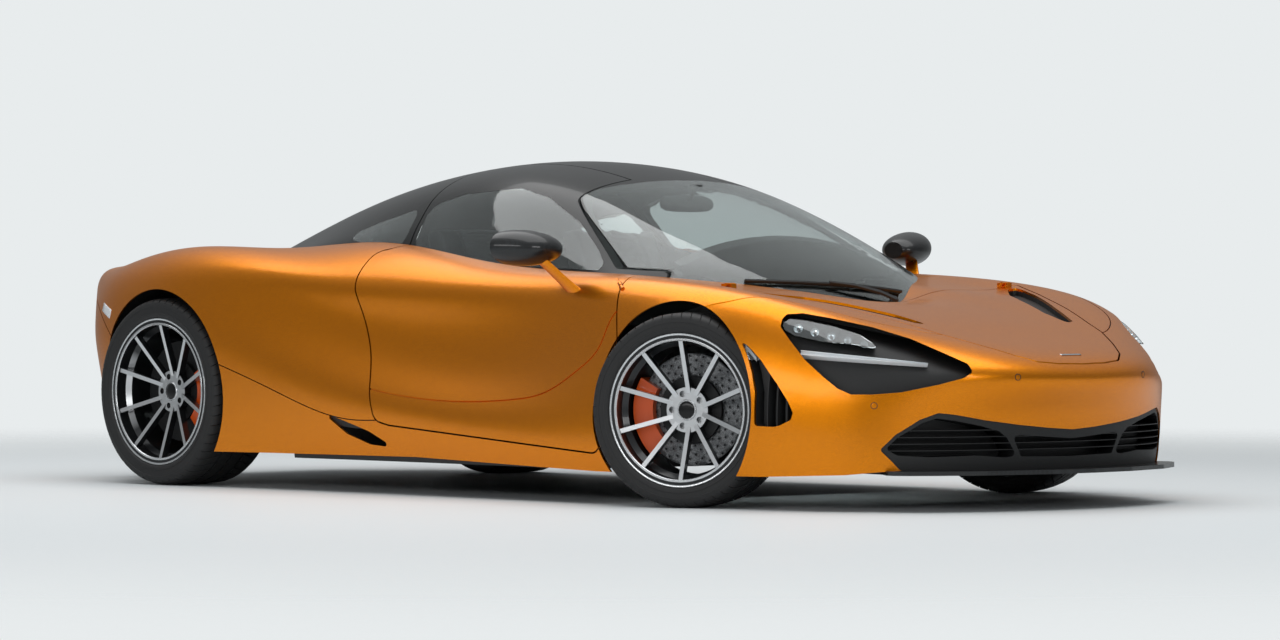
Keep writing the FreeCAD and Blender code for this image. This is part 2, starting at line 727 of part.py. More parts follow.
def ribbon(points, axis, start, end, width):
    """A thin wall along an open curve, carried along an axis."""
    curve = Part.BSplineCurve()
    curve.interpolate(points)
    steps = RIBBON_STEPS * len(points)
    sides = [[], []]
    for k in range(steps + 1):
        at = curve.FirstParameter + (curve.LastParameter - curve.FirstParameter) * k / steps
        across = axis.cross(curve.tangent(at)[0])
        across.normalize()
        sides[0].append(curve.value(at) + across * (width / 2))
        sides[1].append(curve.value(at) - across * (width / 2))
    edges = []
    for side in sides:
        spline = Part.BSplineCurve()
        spline.interpolate(side)
        edges.append(spline.toShape())
    edges.append(Part.makeLine(sides[0][0], sides[1][0]))
    edges.append(Part.makeLine(sides[0][-1], sides[1][-1]))
    face = Part.Face(Part.Wire(Part.__sortEdges__(edges)))
    face.translate(axis * start)
    return face.extrude(axis * (end - start))


def mirrored(shape):
    return shape.mirror(Vector(0, 0, 0), Vector(0, 1, 0))


def largest(shape):
    return max(shape.Solids, key=lambda s: s.Volume)


def piece_at(shape, point):
    """The solid of a cut shape that lies nearest to a point."""
    vertex = Part.Vertex(point)
    return min(shape.Solids, key=lambda s: s.distToShape(vertex)[0])


def rod_y(radius, y_from, y_to, x=0.0, z=0.0):
    return Part.makeCylinder(radius, y_to - y_from, Vector(x, y_from, z), Vector(0, 1, 0))


def block(x0, x1, y0, y1, z0, z1):
    return Part.makeBox(x1 - x0, y1 - y0, z1 - z0, Vector(x0, y0, z0))


def depth_shell(s, near, far, spans, levels):
    """The layer between two depths under the body's surface, over some spans of it."""
    outer = inward(s.body, near) if near else s.body
    return ruled_solid(outer, inward(s.body, far), spans, levels)


def cup(s, shares, axis, reach, depth, spans, levels, radius=VENT_ROUND):
    """A walled pocket behind an opening in the skin."""
    outside = depth_shell(s, SKIN, depth + CUP_WALL, spans, levels)
    outside = outside.common(view_prism(shares, axis, *reach, CUP_WALL, radius))
    inside = depth_shell(s, 0, depth, spans, levels)
    inside = inside.common(view_prism(shares, axis, reach[0] + CUP_WALL, reach[1], 0, radius))
    return largest(outside.cut(inside))


def slats(axis, first, step, count, thick):
    """Thin plates square to an axis, one step apart, as wide as the car."""
    plates = []
    for k in range(count):
        at = axis * (first + step * k)
        if axis.z:
            plates.append(block(-LENGTH, LENGTH, -WIDTH, WIDTH, at.z, at.z + thick))
        else:
            plates.append(block(at.x, at.x + thick, -WIDTH, WIDTH, 0, HEIGHT))
    return Part.makeCompound(plates)


def lamps(s):
    """Eye-shaped black pockets with a clear pod in each, and the clear side markers."""
    spans = (s.nose + EYE_FIRST_SPAN, s.nose + EYE_LAST_SPAN)
    reach = (HALF_LENGTH * CORNER_NEAR_SHARE, LENGTH)
    bowl = cup(s, EYE_SHARES, CORNER_VIEW, reach, EYE_DEPTH, spans, EYE_LEVELS)
    pod = view_prism(POD_SHARES, CORNER_VIEW, *reach)
    boss = depth_shell(s, POD_FACE, EYE_DEPTH + CUP_WALL / 2, spans, EYE_LEVELS).common(pod)
    lens = depth_shell(s, LENS_SET, POD_FACE, spans, EYE_LEVELS).common(pod)
    hollow = depth_shell(s, LENS_SET + LENS_WALL, POD_FACE + LENS_WALL, spans, EYE_LEVELS)
    lens = lens.cut(hollow.common(view_prism(POD_SHARES, CORNER_VIEW, *reach, -LENS_WALL)))
    marker = depth_shell(s, LENS_SET, SKIN, (s.nose + VENT_FIRST_SPAN, s.nose + VENT_LAST_SPAN), VENT_LEVELS)
    marker = marker.common(view_prism(MARKER_SHARES, ACROSS, ARCH_INNER_Y, WIDTH))
    return both_sides(bowl.fuse(boss)), both_sides(Part.makeCompound([largest(lens), largest(marker)]))


def sunken(s, region, holes, bars, near, far, spans, levels):
    """A thick panel under the skin, with holes that stop short of its back and bars across them."""
    block_of_panel = depth_shell(s, near, far, spans, levels).common(region)
    room = depth_shell(s, 0, far - CUP_WALL, spans, levels)
    return block_of_panel.cut([room.common(hole).cut(bars) for hole in holes])


def mouth(s):
    """The black frame under the nose with three blind openings and level vanes."""
    spans = (s.nose - MOUTH_SPANS, s.nose + MOUTH_SPANS)
    reach = (FRONT_AXLE_X, LENGTH)
    vanes = slats(UPWARD, HEIGHT * VANE_SHARE, VANE_STEP, VANE_COUNT, CUP_WALL)
    side = view_prism(SIDE_MOUTH_SHARES, AHEAD, *reach)
    middle = view_prism(CENTRE_MOUTH_SHARES, AHEAD, *reach)
    openings = (side, mirrored(side), middle)
    return sunken(s, s.mouth, openings, vanes, MOUTH_SET, MOUTH_DEPTH, spans, MOUTH_LEVELS)


def front_fittings(s):
    """Headlamps, grille, and the vents beside the front wheels and in the bonnet."""
    nodes = {}
    nodes["headlamps"], nodes["lamp_lenses"] = lamps(s)
    grille = largest(mouth(s))
    side = (s.nose + VENT_FIRST_SPAN, s.nose + VENT_LAST_SPAN)
    pocket = cup(s, SIDE_VENT_SHARES, ACROSS, (ARCH_INNER_Y, WIDTH), VENT_DEPTH, side, VENT_LEVELS)
    room = depth_shell(s, SKIN, VENT_DEPTH, side, VENT_LEVELS).common(s.side_vent)
    fins = room.common(slats(AHEAD, FRONT_AXLE_X + FIN_FIRST, FIN_STEP, FIN_COUNT, CUP_WALL))
    vent = largest(pocket.fuse(fins))
    nodes["grilles"] = Part.makeCompound([grille, vent, mirrored(vent), tail_panel(s)])
    top = (s.nose + LID_VENT_FIRST_SPAN, s.nose + LID_VENT_LAST_SPAN)
    reach = (HEIGHT * CORE_LEVEL_SHARE, HEIGHT)
    pocket = cup(s, BONNET_VENT_SHARES, UPWARD, reach, LID_VENT_DEPTH, top, LID_VENT_LEVELS)
    nodes["bonnet_vents"] = both_sides(pocket)
    return nodes


def pipe_rods(radius, behind):
    """Rods along the two exhausts, starting a little behind their ends."""
    start = Vector(-HALF_LENGTH * PIPE_END_SHARE - behind, 0, PIPE_Z)
    length = PIPE_LENGTH + behind
    return [Part.makeCylinder(radius, length, start + ACROSS * side * PIPE_Y, AHEAD) for side in (1, -1)]


def tail_panel(s):
    """The louvred panel between the rear lamps, with holes for the exhausts."""
    spans = (s.tail - TAIL_SPANS, s.tail)
    inner = view_prism(TAIL_PANEL_SHARES, AHEAD, -LENGTH, REAR_AXLE_X, -TAIL_BORDER)
    bars = slats(UPWARD, HEIGHT * LOUVRE_SHARE, LOUVRE_STEP, LOUVRE_COUNT, CUP_WALL * 2)
    panel = sunken(s, s.tail_panel, [inner], bars, TAIL_SET, TAIL_DEPTH, spans, TAIL_LEVELS)
    panel = panel.cut(pipe_rods(PIPE_RADIUS + PANEL_GAP, OVERRUN))
    return largest(panel.fuse(mirrored(panel)))


def tail_fittings(s):
    """The rear lamps, and two high exhausts on a silencer."""
    spans = (s.tail - TAIL_SPANS, s.tail)
    lamp = depth_shell(s, LENS_SET, SKIN, spans, TAIL_LEVELS).common(s.tail_lamp).cut(s.tail_panel)
    bores = pipe_rods(PIPE_RADIUS - PIPE_WALL, FIT)
    tubes = [tube.cut(bore) for tube, bore in zip(pipe_rods(PIPE_RADIUS, 0), bores)]
    front = -HALF_LENGTH * PIPE_END_SHARE + PIPE_LENGTH
    silencer = block(front - PIPE_WALL, front + SILENCER_LONG, -SILENCER_HALF, SILENCER_HALF,
                     PIPE_Z - PIPE_RADIUS * 2, PIPE_Z + PIPE_RADIUS)
    legs = []
    for side in (-1, 1):
        middle = side * (BEAM_Y + BEAM / 2)
        legs.append(block(front + BEAM, front + BEAM + PIPE_WALL * 2, middle - BEAM / 4, middle + BEAM / 4,
                          BEAM_Z + BEAM, PIPE_Z))
    return {
        "tail_lamps": both_sides(largest(lamp)),
        "exhausts": silencer.multiFuse(tubes + legs),
    }


def luggage_tray():
    """An open tray under the bonnet, resting on the front beams."""
    front = FRONT_BEAM_X - BEAM * 2
    outer = block(TUB_FRONT_X + TRAY_BACK, front, -TRAY_HALF, TRAY_HALF, BEAM_Z + BEAM, TRAY_TOP)
    half = TRAY_HALF - CUP_WALL
    inner = block(TUB_FRONT_X + TRAY_BACK + CUP_WALL, front - CUP_WALL, -half, half,
                  BEAM_Z + BEAM + CUP_WALL, HEIGHT)
    return outer.cut(inner)


def barrel_hinge(x, y, z, toward):
    """A hinge across the car: what the fixed panel gains, what the lid gains, and each one's room."""
    half, ear = KNUCKLE_HALF, KNUCKLE_HALF + EAR_WIDE
    pin = rod_y(HINGE_PIN, y - ear, y + ear, x, z)
    bore = rod_y(HINGE_PIN + FIT, y - ear, y + ear, x, z)
    low = z - HINGE_RADIUS - LEAF_DROP
    fixed, fixed_room = [pin], []
    for start in (y - ear, y + half + FIT):
        end = start + EAR_WIDE - FIT
        fixed.append(rod_y(HINGE_RADIUS, start, end, x, z))
        back = sorted((x, x - toward * LEAF_LONG))
        fixed.append(block(back[0], back[1], start, end, low, z + HINGE_RADIUS / 2))
        fixed_room.append(rod_y(HINGE_RADIUS + HINGE_ROOM, start - HINGE_ROOM, end + HINGE_ROOM, x, z))
        fixed_room.append(block(x - LEAF_DROP, x + LEAF_DROP, start - HINGE_ROOM, end + HINGE_ROOM, low, z))
    ahead = sorted((x, x + toward * LEAF_LONG))
    leaf = block(ahead[0], ahead[1], y - half, y + half, low, z + HINGE_RADIUS / 2)
    moving = rod_y(HINGE_RADIUS, y - half, y + half, x, z).fuse(leaf).cut(bore)
    moving_room = [rod_y(HINGE_RADIUS + HINGE_ROOM, y - half - FIT, y + half + FIT, x, z),
                   block(x - LEAF_DROP, x + LEAF_DROP, y - half - FIT, y + half + FIT, low, z)]
    return fixed, moving, fixed_room, moving_room


def hang_lids(nodes):
    """Barrel hinges for the bonnet and the rear wing."""
    places = (("bonnet", "front_fenders", BONNET_HINGE_X, BONNET_HINGE_Y, BONNET_HINGE_Z, 1),
              ("rear_wing", "rear_deck", WING_HINGE_X, WING_HINGE_Y, WING_HINGE_Z, -1))
    for lid, fixed_name, x, y, z, toward in places:
        for side in (1, -1):
            fixed, moving, fixed_room, moving_room = barrel_hinge(x, side * y, z, toward)
            nodes[fixed_name] = nodes[fixed_name].cut(moving_room).multiFuse(fixed)
            nodes[lid] = nodes[lid].cut(fixed_room).fuse(moving)


def hang_door(door_shape, fenders):
    """A pin along each door's axis: fixed in the fender, with a knuckle on the door."""
    axis = Vector(*DOOR_AXIS)
    axis.normalize()
    at = Vector(*DOOR_PIVOT)

    def along(radius, start, end):
        return Part.makeCylinder(radius, end - start, at + axis * start, axis)

    knuckle = along(DOOR_KNUCKLE, -KNUCKLE_BACK, -DOOR_GAP / 2)
    bore = along(HINGE_PIN + FIT, -KNUCKLE_BACK - OVERRUN, 0)
    lug = along(DOOR_KNUCKLE, DOOR_GAP / 2, KNUCKLE_BACK)
    pin = along(HINGE_PIN, -KNUCKLE_BACK, KNUCKLE_BACK)
    room = along(DOOR_KNUCKLE + HINGE_ROOM, 0, KNUCKLE_BACK + HINGE_ROOM)
    door_shape = largest(door_shape.cut(room).fuse(knuckle).cut(bore))
    own = along(DOOR_KNUCKLE + HINGE_ROOM, -KNUCKLE_BACK - HINGE_ROOM, 0)
    fixed = lug.fuse(pin)
    return door_shape, fenders.cut([own, mirrored(own)]).multiFuse([fixed, mirrored(fixed)])


def inner_piece(shape, skins, point):
    """What is left of a structural piece inside the skins, seated on their inner faces."""
    return piece_at(shape.cut(skins), point)


def both_sides(shape):
    return Part.makeCompound([shape, mirrored(shape)])


def main_solids(shape):
    """A cut shape without the slivers that the cutters leave."""
    least = largest(shape).Volume * SLIVER_SHARE
    return Part.makeCompound([s for s in shape.Solids if s.Volume > least])


def one_or_both(shape):
    """A piece that spans the car as it is, or a left piece with its twin."""
    return shape if shape.BoundBox.YMin < -OVERRUN else both_sides(shape)


def arch_rods(radius_front, radius_rear, y_from, y_to):
    """The bores of the left wheel arches."""
    front = rod_y(radius_front, y_from, y_to, FRONT_AXLE_X + ARCH_SHIFT, FRONT_TYRE_RADIUS + ARCH_RISE)
    rear = rod_y(radius_rear, y_from, y_to, REAR_AXLE_X, REAR_TYRE_RADIUS + ARCH_RISE)
    return front, rear


class Skins:
    """The surfaces and cutters that the panels are made from."""

    def __init__(self):
        self.body = body_grid()
        self.canopy = canopy_grid()
        self.tail = len(self.body) - 3
        self.nose = self.tail / 2
        under_skin = inward(self.body, SKIN)
        left = (self.nose, self.tail)
        front = (self.nose - FRONT_SPANS, self.nose + FRONT_SPANS)
        self.left = ruled_solid(self.body, under_skin, left)
        self.front = ruled_solid(self.body, under_skin, front)
        self.carrier = ruled_solid(under_skin, inward(self.body, SKIN + CARRIER), left)
        deep = inward(self.body, DOOR_DEPTH)
        self.door_spans = (self.nose + DOOR_FIRST_SPAN, self.nose + DOOR_LAST_SPAN)
        self.door_depth = ruled_solid(inward(self.body, SKIN / 2), deep, self.door_spans)
        self.core = flat_core(self.canopy, HEIGHT * CORE_LEVEL_SHARE)
        self.glass = ruled_solid(self.canopy, inward(self.canopy, GLASS))
        under_roof = inward(self.canopy, CANOPY_SKIN)
        self.roof = ruled_solid(self.canopy, under_roof)
        self.frame = ruled_solid(under_roof, inward(self.canopy, CANOPY_SKIN + CANOPY_FRAME))
        self.upper_door = ruled_solid(self.canopy, inward(self.canopy, CANOPY_SKIN + CANOPY_FRAME))
        high = HEIGHT + OVERRUN
        low = -OVERRUN
        out = WIDTH
        self.door_in = side_prism(DOOR_SIDE_SHARES, ROOF_SPINE + DOOR_GAP, out, -DOOR_GAP / 2)
        self.door_out = side_prism(DOOR_SIDE_SHARES, ROOF_SPINE, out, DOOR_GAP / 2)
        self.door_core = side_prism(DOOR_SIDE_SHARES, HALF_WIDTH / 2, out, -DOOR_INSET)
        self.door_window = side_prism(DOOR_GLASS_SHARES, ROOF_SPINE, out)
        self.quarter_window = side_prism(QUARTER_GLASS_SHARES, ROOF_SPINE, out)
        self.screen = plan_prism(SCREEN_SHARES, HEIGHT * CORE_LEVEL_SHARE, high)
        self.rear_window = plan_prism(REAR_GLASS_SHARES, HEIGHT * CORE_LEVEL_SHARE, high)
        self.bonnet_in = plan_prism(BONNET_SHARES, HEIGHT * LID_LEVEL_SHARE, high, -DOOR_GAP / 2)
        self.bonnet_out = plan_prism(BONNET_SHARES, HEIGHT * LID_LEVEL_SHARE, high, DOOR_GAP / 2)
        self.wing_in = plan_prism(WING_SHARES, HEIGHT * CORE_LEVEL_SHARE, high, -DOOR_GAP / 2)
        self.wing_out = plan_prism(WING_SHARES, HEIGHT * CORE_LEVEL_SHARE, high, DOOR_GAP / 2)
        self.hem = side_prism(HEM_SHARES, -out, out)
        self.eye = view_prism(EYE_SHARES, CORNER_VIEW, HALF_LENGTH * CORNER_NEAR_SHARE, LENGTH)
        self.side_vent = view_prism(SIDE_VENT_SHARES, ACROSS, ARCH_INNER_Y, out)
        self.bonnet_vent = view_prism(BONNET_VENT_SHARES, UPWARD, HEIGHT * CORE_LEVEL_SHARE, high)
        self.mouth = view_prism(MOUTH_SHARES, AHEAD, FRONT_AXLE_X, LENGTH)
        self.tail_panel = view_prism(TAIL_PANEL_SHARES, AHEAD, -LENGTH, REAR_AXLE_X)
        self.tail_lamp = view_prism(TAIL_LAMP_SHARES, AHEAD, -LENGTH, REAR_AXLE_X, 0, FIT)
        self.arches = arch_rods(FRONT_ARCH_RADIUS, REAR_ARCH_RADIUS, ARCH_INNER_Y, out)
        lines = ((SILL_LINE_SHARES, "side"), (REAR_LINE_SHARES, "side"), (FENDER_LINE_SHARES, "plan"),
                 (DECK_LINE_SHARES, "plan"))
        self.gaps = [self.line_wall(s, view, PANEL_GAP) for s, view in lines]
        self.carriers = [self.line_wall(s, view, CARRIER_WIDTH) for s, view in lines]

    def line_wall(self, shares, view, width):
        if view == "side":
            return ribbon(side_points(shares), Vector(0, 1, 0), 0, WIDTH, width)
        return ribbon(plan_points(shares), Vector(0, 0, 1), HEIGHT * CORE_LEVEL_SHARE, HEIGHT, width)


def body_panels(s):
    """The fixed painted panels, cut from the body skin with the gaps between them."""
    fender_gap = s.gaps[2]
    sides = [s.arches[0], fender_gap, s.door_out, s.eye, s.side_vent]
    front = s.front.cut([s.core, s.hem, s.bonnet_out, s.mouth] + sides + [mirrored(c) for c in sides])
    left = s.left.cut([s.core, s.hem, s.door_out, s.arches[0], s.arches[1]] + s.gaps)
    skirt = piece_at(left, place(*SKIRT_AT_SHARES)).cut(side_prism(SIDE_INTAKE_SHARES, 0, WIDTH, 0, SKIN))
    quarter = piece_at(left, place(*QUARTER_AT_SHARES))
    deck = piece_at(left, place(*DECK_AT_SHARES))
    deck = deck.fuse(mirrored(deck))
    tail = piece_at(left, place(*TAIL_AT_SHARES))
    return {
        "front_bumper": piece_at(front, place(*BUMPER_AT_SHARES)),
        "front_fenders": one_or_both(piece_at(front, place(*FENDER_AT_SHARES))),
        "bonnet": largest(s.front.cut([s.core, s.bonnet_vent, mirrored(s.bonnet_vent)]).common(s.bonnet_in)),
        "side_skirts": both_sides(skirt),
        "quarter_panels": both_sides(quarter),
        "rear_deck": deck.cut(s.wing_out),
        "rear_wing": deck.common(s.wing_in),
        "rear_bumper": largest(tail.fuse(mirrored(tail)).cut([diffuser_slab(), s.tail_panel, s.tail_lamp,
                                                              mirrored(s.tail_lamp)])),
    }


def panel_carriers(s):
    """Flanges under the fixed gaps, which the panels are seated on."""
    strips = s.carrier.common(s.carriers[0].multiFuse(s.carriers[1:]))
    cutters = [s.core, s.hem, s.arches[0], s.arches[1], s.bonnet_out, s.wing_out, s.tail_panel, s.tail_lamp,
               view_prism(EYE_SHARES, CORNER_VIEW, HALF_LENGTH * CORNER_NEAR_SHARE, LENGTH, CUP_WALL + FIT),
               side_prism(DOOR_SIDE_SHARES, ROOF_SPINE, WIDTH, DOOR_DEPTH / 4)]
    return both_sides(main_solids(strips.cut(cutters)))


def cabin_shells(s):
    """The black upper body: screens, roof and pillars, with openings where the doors are."""
    both_doors = [s.door_out, mirrored(s.door_out)]
    openings = both_doors + [s.screen, s.rear_window, s.quarter_window, mirrored(s.quarter_window)]
    drum = arch_rods(LINER_RADIUS_FRONT + LINER_WALL, LINER_RADIUS_REAR + LINER_WALL, ARCH_INNER_Y, WIDTH)[0]
    openings += [drum, mirrored(drum)]
    return {
        "roof": main_solids(s.roof.cut(openings)),
        "cabin_frame": main_solids(s.frame.cut(openings)),
        "windscreen": largest(s.glass.common(s.screen).cut(both_doors)),
        "rear_glass": s.glass.common(s.rear_window),
        "quarter_glass": both_sides(s.glass.common(s.quarter_window).cut(s.door_out)),
    }


def door(s):
    """The left door: its painted skin with a hollow body, and its black window frame."""
    groove = ribbon(side_points(BLADE_LINE_SHARES), ACROSS, ARCH_INNER_Y, WIDTH, BLADE_GROOVE)
    groove = groove.common(ruled_solid(s.body, inward(s.body, BLADE_GROOVE), s.door_spans))
    skin = s.left.cut([s.core, s.hem, s.arches[0], groove]).common(s.door_in)
    inner = s.door_depth.common(s.door_core).cut([s.core, arch_rods(DOOR_ARCH_RADIUS, DOOR_ARCH_RADIUS,
                                                                    ARCH_INNER_Y, WIDTH)[0]])
    frame = s.upper_door.common(s.door_in).cut(s.door_window)
    lower = largest(skin).multiFuse([largest(inner), mirror_stalk()])
    return lower, largest(frame.cut(lower))


def door_glass(s):
    return s.glass.common(s.door_window).common(s.door_in)


def structure(s):
    """The tub, its sills and bulkheads, and the beams that carry the ends of the car."""
    floor = block(TUB_REAR_X, TUB_FRONT_X, -TUB_HALF_WIDTH, TUB_HALF_WIDTH, FLOOR_Z, FLOOR_Z + FLOOR_WALL)
    sill = block(TUB_REAR_X, TUB_FRONT_X, SILL_INNER_Y, TUB_HALF_WIDTH, FLOOR_Z, SILL_TOP_Z)
    outrigger = block(TUB_REAR_X, SKIRT_FRONT_X, TUB_HALF_WIDTH - OVERRUN, WIDTH,
                      FLOOR_Z, FLOOR_Z + FLOOR_WALL)
    outrigger = inner_piece(outrigger, [s.left], Vector(0, TUB_HALF_WIDTH, FLOOR_Z))
    tunnel = block(TUB_REAR_X, TUB_FRONT_X, -TUNNEL_HALF_WIDTH, TUNNEL_HALF_WIDTH, FLOOR_Z, TUNNEL_TOP_Z)
    rear = block(TUB_REAR_X, TUB_REAR_X + BULKHEAD, 0, TUB_HALF_WIDTH, FLOOR_Z, HEIGHT)
    front = block(TUB_FRONT_X - BULKHEAD, TUB_FRONT_X, 0, FRONT_BULKHEAD_Y, FLOOR_Z, HEIGHT)
    shells = [s.upper_door, s.left, s.carrier]
    rear = inner_piece(rear, shells, Vector(TUB_REAR_X, 0, FLOOR_Z))
    front = inner_piece(front, shells, Vector(TUB_FRONT_X, 0, FLOOR_Z))
    tub = floor.multiFuse([sill, mirrored(sill), outrigger, mirrored(outrigger), tunnel,
                            rear, mirrored(rear), front, mirrored(front)])
    front_beam = block(TUB_FRONT_X, FRONT_BEAM_X, BEAM_Y, BEAM_Y + BEAM, BEAM_Z, BEAM_Z + BEAM)
    front_cross = block(FRONT_BEAM_X - BEAM, FRONT_BEAM_X, -CROSS_HALF_WIDTH, CROSS_HALF_WIDTH,
                        BEAM_Z, BEAM_Z + BEAM)
    rear_beam = block(REAR_BEAM_X, TUB_REAR_X, BEAM_Y, BEAM_Y + BEAM, BEAM_Z, BEAM_Z + BEAM)
    rear_cross = block(REAR_BEAM_X, REAR_BEAM_X + BEAM, -CROSS_HALF_WIDTH, CROSS_HALF_WIDTH,
                       BEAM_Z, BEAM_Z + BEAM)
    return {
        "tub": tub,
        "front_frame": front_beam.multiFuse([mirrored(front_beam), front_cross]),
        "rear_frame": rear_beam.multiFuse([mirrored(rear_beam), rear_cross]),
        "engine_block": block(ENGINE_REAR_X, ENGINE_FRONT_X, -BEAM_Y, BEAM_Y, ENGINE_Z, ENGINE_TOP_Z),
    }


def revolved(profile, degrees=360.0, start=0.0):
    """A profile of (radius, y) points turned about the wheel's axis."""
    points = [Vector(r, y, 0) for r, y in profile]
    face = Part.Face(Part.makePolygon(points + points[:1]))
    face.rotate(Vector(0, 0, 0), Vector(0, 1, 0), start)
    return face.revolve(Vector(0, 0, 0), Vector(0, 1, 0), degrees)


def faceted(profile, count):
    """A closed profile of (radius, y) points carried round the wheel's axis in flat steps."""
    rings = []
    for k in range(count):
        angle = 2 * math.pi * k / count - math.pi / 2
        rings.append([Vector(r * math.cos(angle), y, r * math.sin(angle)) for r, y in profile])
    faces = []
    for k in range(count):
        here, ahead = rings[k], rings[(k + 1) % count]
        for i in range(len(profile)):
            j = (i + 1) % len(profile)
            corners = [here[i], here[j], ahead[j], ahead[i]]
            faces.append(Part.Face(Part.makePolygon(corners + corners[:1])))
    shell = Part.makeShell(faces)
    shell.sewShape()
    solid = Part.makeSolid(shell)
    if solid.Volume < 0:
        solid.reverse()
    return solid


def tyre(radius, flange, section, seat, rim_half):
    """A low-profile tyre, its beads seated in the rim."""
    half = section / 2
    bead = rim_half - FLANGE_WALL - FIT
    foot = (seat + FIT) / math.cos(math.pi / TYRE_FACETS)
    outer = [(foot, bead), (flange + FIT * 3, bead), (flange + SHOULDER / 2, half),
             (radius - SHOULDER, half - FIT), (radius - SHOULDER / 4, half - SHOULDER / 2),
             (radius, half - SHOULDER)]
    inner = [(radius - TYRE_WALL, half - SHOULDER), (flange + SHOULDER / 2, half - TYRE_WALL),
             (foot, bead - TYRE_WALL)]
    right = [(r, -y) for r, y in reversed(outer)] + [(r, -y) for r, y in reversed(inner)]
    return faceted(outer + right + inner, TYRE_FACETS)


def rim(radius_seat, flange, half, pairs=SPOKE_PAIRS):
    """A forged wheel: barrel, five forked pairs of thin spokes and a dished hub."""
    barrel = revolved([(flange, half), (flange, half - FLANGE_WALL), (radius_seat, half - FLANGE_WALL),
                       (radius_seat, half - SEAT_WIDTH), (radius_seat - DROP, half - SEAT_WIDTH - DROP),
                       (radius_seat - DROP, -half + SEAT_WIDTH + DROP), (radius_seat, -half + SEAT_WIDTH),
                       (radius_seat, -half + FLANGE_WALL), (flange, -half + FLANGE_WALL), (flange, -half),
                       (radius_seat - RIM_WALL, -half), (radius_seat - RIM_WALL, -half + SEAT_WIDTH),
                       (radius_seat - DROP - RIM_WALL, -half + SEAT_WIDTH + DROP),
                       (radius_seat - DROP - RIM_WALL, half - SEAT_WIDTH - DROP),
                       (radius_seat - RIM_WALL, half - SEAT_WIDTH), (radius_seat - RIM_WALL, half)])
    face_y = half - HUB_DISH
    hub = rod_y(HUB_RADIUS, face_y - HUB_THICK, face_y)
    lugs = []
    spokes = []
    for k in range(pairs):
        turn = 360.0 * k / pairs
        lug = rod_y(LUG_RADIUS, face_y - LUG_DEPTH, face_y + OVERRUN, LUG_CIRCLE)
        lug.rotate(Vector(0, 0, 0), Vector(0, 1, 0), turn + 180.0 / pairs)
        lugs.append(lug)
        for side in (-1, 1):
            spokes.append(spoke(radius_seat, half, face_y, turn, side, pairs))
    return barrel.multiFuse([hub] + spokes).cut(lugs)


def spoke(radius_seat, half, face_y, turn, side, pairs):
    """One thin spoke from the hub out to the rim, leaning away from its twin."""
    a_in = math.radians(turn + side * SPOKE_ROOT_DEG)
    a_out = math.radians(turn + side * 90.0 / pairs)
    r_in, r_out = HUB_RADIUS * SPOKE_ROOT_SHARE, radius_seat - RIM_WALL / 2
    start = Vector(r_in * math.cos(a_in), 0, r_in * math.sin(a_in))
    end = Vector(r_out * math.cos(a_out), 0, r_out * math.sin(a_out))
    along = end - start
    length = along.Length
    profile = [(0, face_y), (length, half - SPOKE_EDGE), (length, half - SPOKE_EDGE - SPOKE_DEPTH),
               (length / 2, (face_y + half - SPOKE_EDGE) / 2 - SPOKE_DEPTH),
               (0, face_y - HUB_THICK)]
    points = [Vector(x, y, -SPOKE_WIDTH / 2) for x, y in profile]
    solid = Part.Face(Part.makePolygon(points + points[:1])).extrude(Vector(0, 0, SPOKE_WIDTH))
    solid.rotate(Vector(0, 0, 0), Vector(0, 1, 0), -math.degrees(math.atan2(along.z, along.x)))
    solid.translate(start)
    return solid


def brake_disc(radius):
    """A drilled-type disc on a hat that bolts to the wheel, with the hub's bore."""
    back = DISC_Y - DISC_THICK / 2
    front = DISC_Y + DISC_THICK / 2
    pad = hub_pad()
    return revolved([(BORE, -HUB_DEPTH), (HUB_TUBE, -HUB_DEPTH), (HUB_TUBE, pad - HAT_WALL),
                     (HAT_RADIUS, pad - HAT_WALL), (HAT_RADIUS, back), (radius, back), (radius, front),
                     (HAT_RADIUS + HAT_WALL, front), (HAT_RADIUS + HAT_WALL, pad), (BORE, pad)])


def hub_pad():
    """Where the wheel meets the brake disc's hat, outboard of the wheel's middle."""
    return FRONT_RIM_WIDTH / 2 - HUB_DISH - HUB_THICK


def caliper(radius, middle_deg):
    """A brake caliper that straddles the disc."""
    back = DISC_Y - DISC_THICK / 2 - PAD_GAP
    front = DISC_Y + DISC_THICK / 2 + PAD_GAP
    inner = radius - CALIPER_REACH
    profile = [(inner, back - CALIPER_WALL), (radius + CALIPER_RIM, back - CALIPER_WALL),
               (radius + CALIPER_RIM, front + CALIPER_WALL), (inner, front + CALIPER_WALL), (inner, front),
               (radius + PAD_GAP, front), (radius + PAD_GAP, back), (inner, back)]
    return revolved(profile, CALIPER_DEG, middle_deg - CALIPER_DEG / 2)


def upright(caliper_side):
    """The plate that carries the hub's spindle, with bores on the steering axis."""
    plate = block(-UPRIGHT_WIDTH / 2, UPRIGHT_WIDTH / 2, -KINGPIN_INSET - UPRIGHT_THICK / 2,
                  -KINGPIN_INSET + UPRIGHT_THICK / 2, -UPRIGHT_DOWN, UPRIGHT_UP)
    spindle = rod_y(BORE - FIT * 2, -KINGPIN_INSET, hub_pad() - DOOR_GAP)
    reach = FRONT_DISC_RADIUS - CALIPER_REACH + UPRIGHT_THICK
    bracket = block(0, reach, -KINGPIN_INSET - UPRIGHT_THICK / 2,
                    DISC_Y - DISC_THICK / 2 - PAD_GAP - CALIPER_WALL, -BRACKET / 2, BRACKET / 2)
    if caliper_side < 0:
        bracket = bracket.mirror(Vector(0, 0, 0), Vector(1, 0, 0))
    return plate.multiFuse([spindle, bracket])


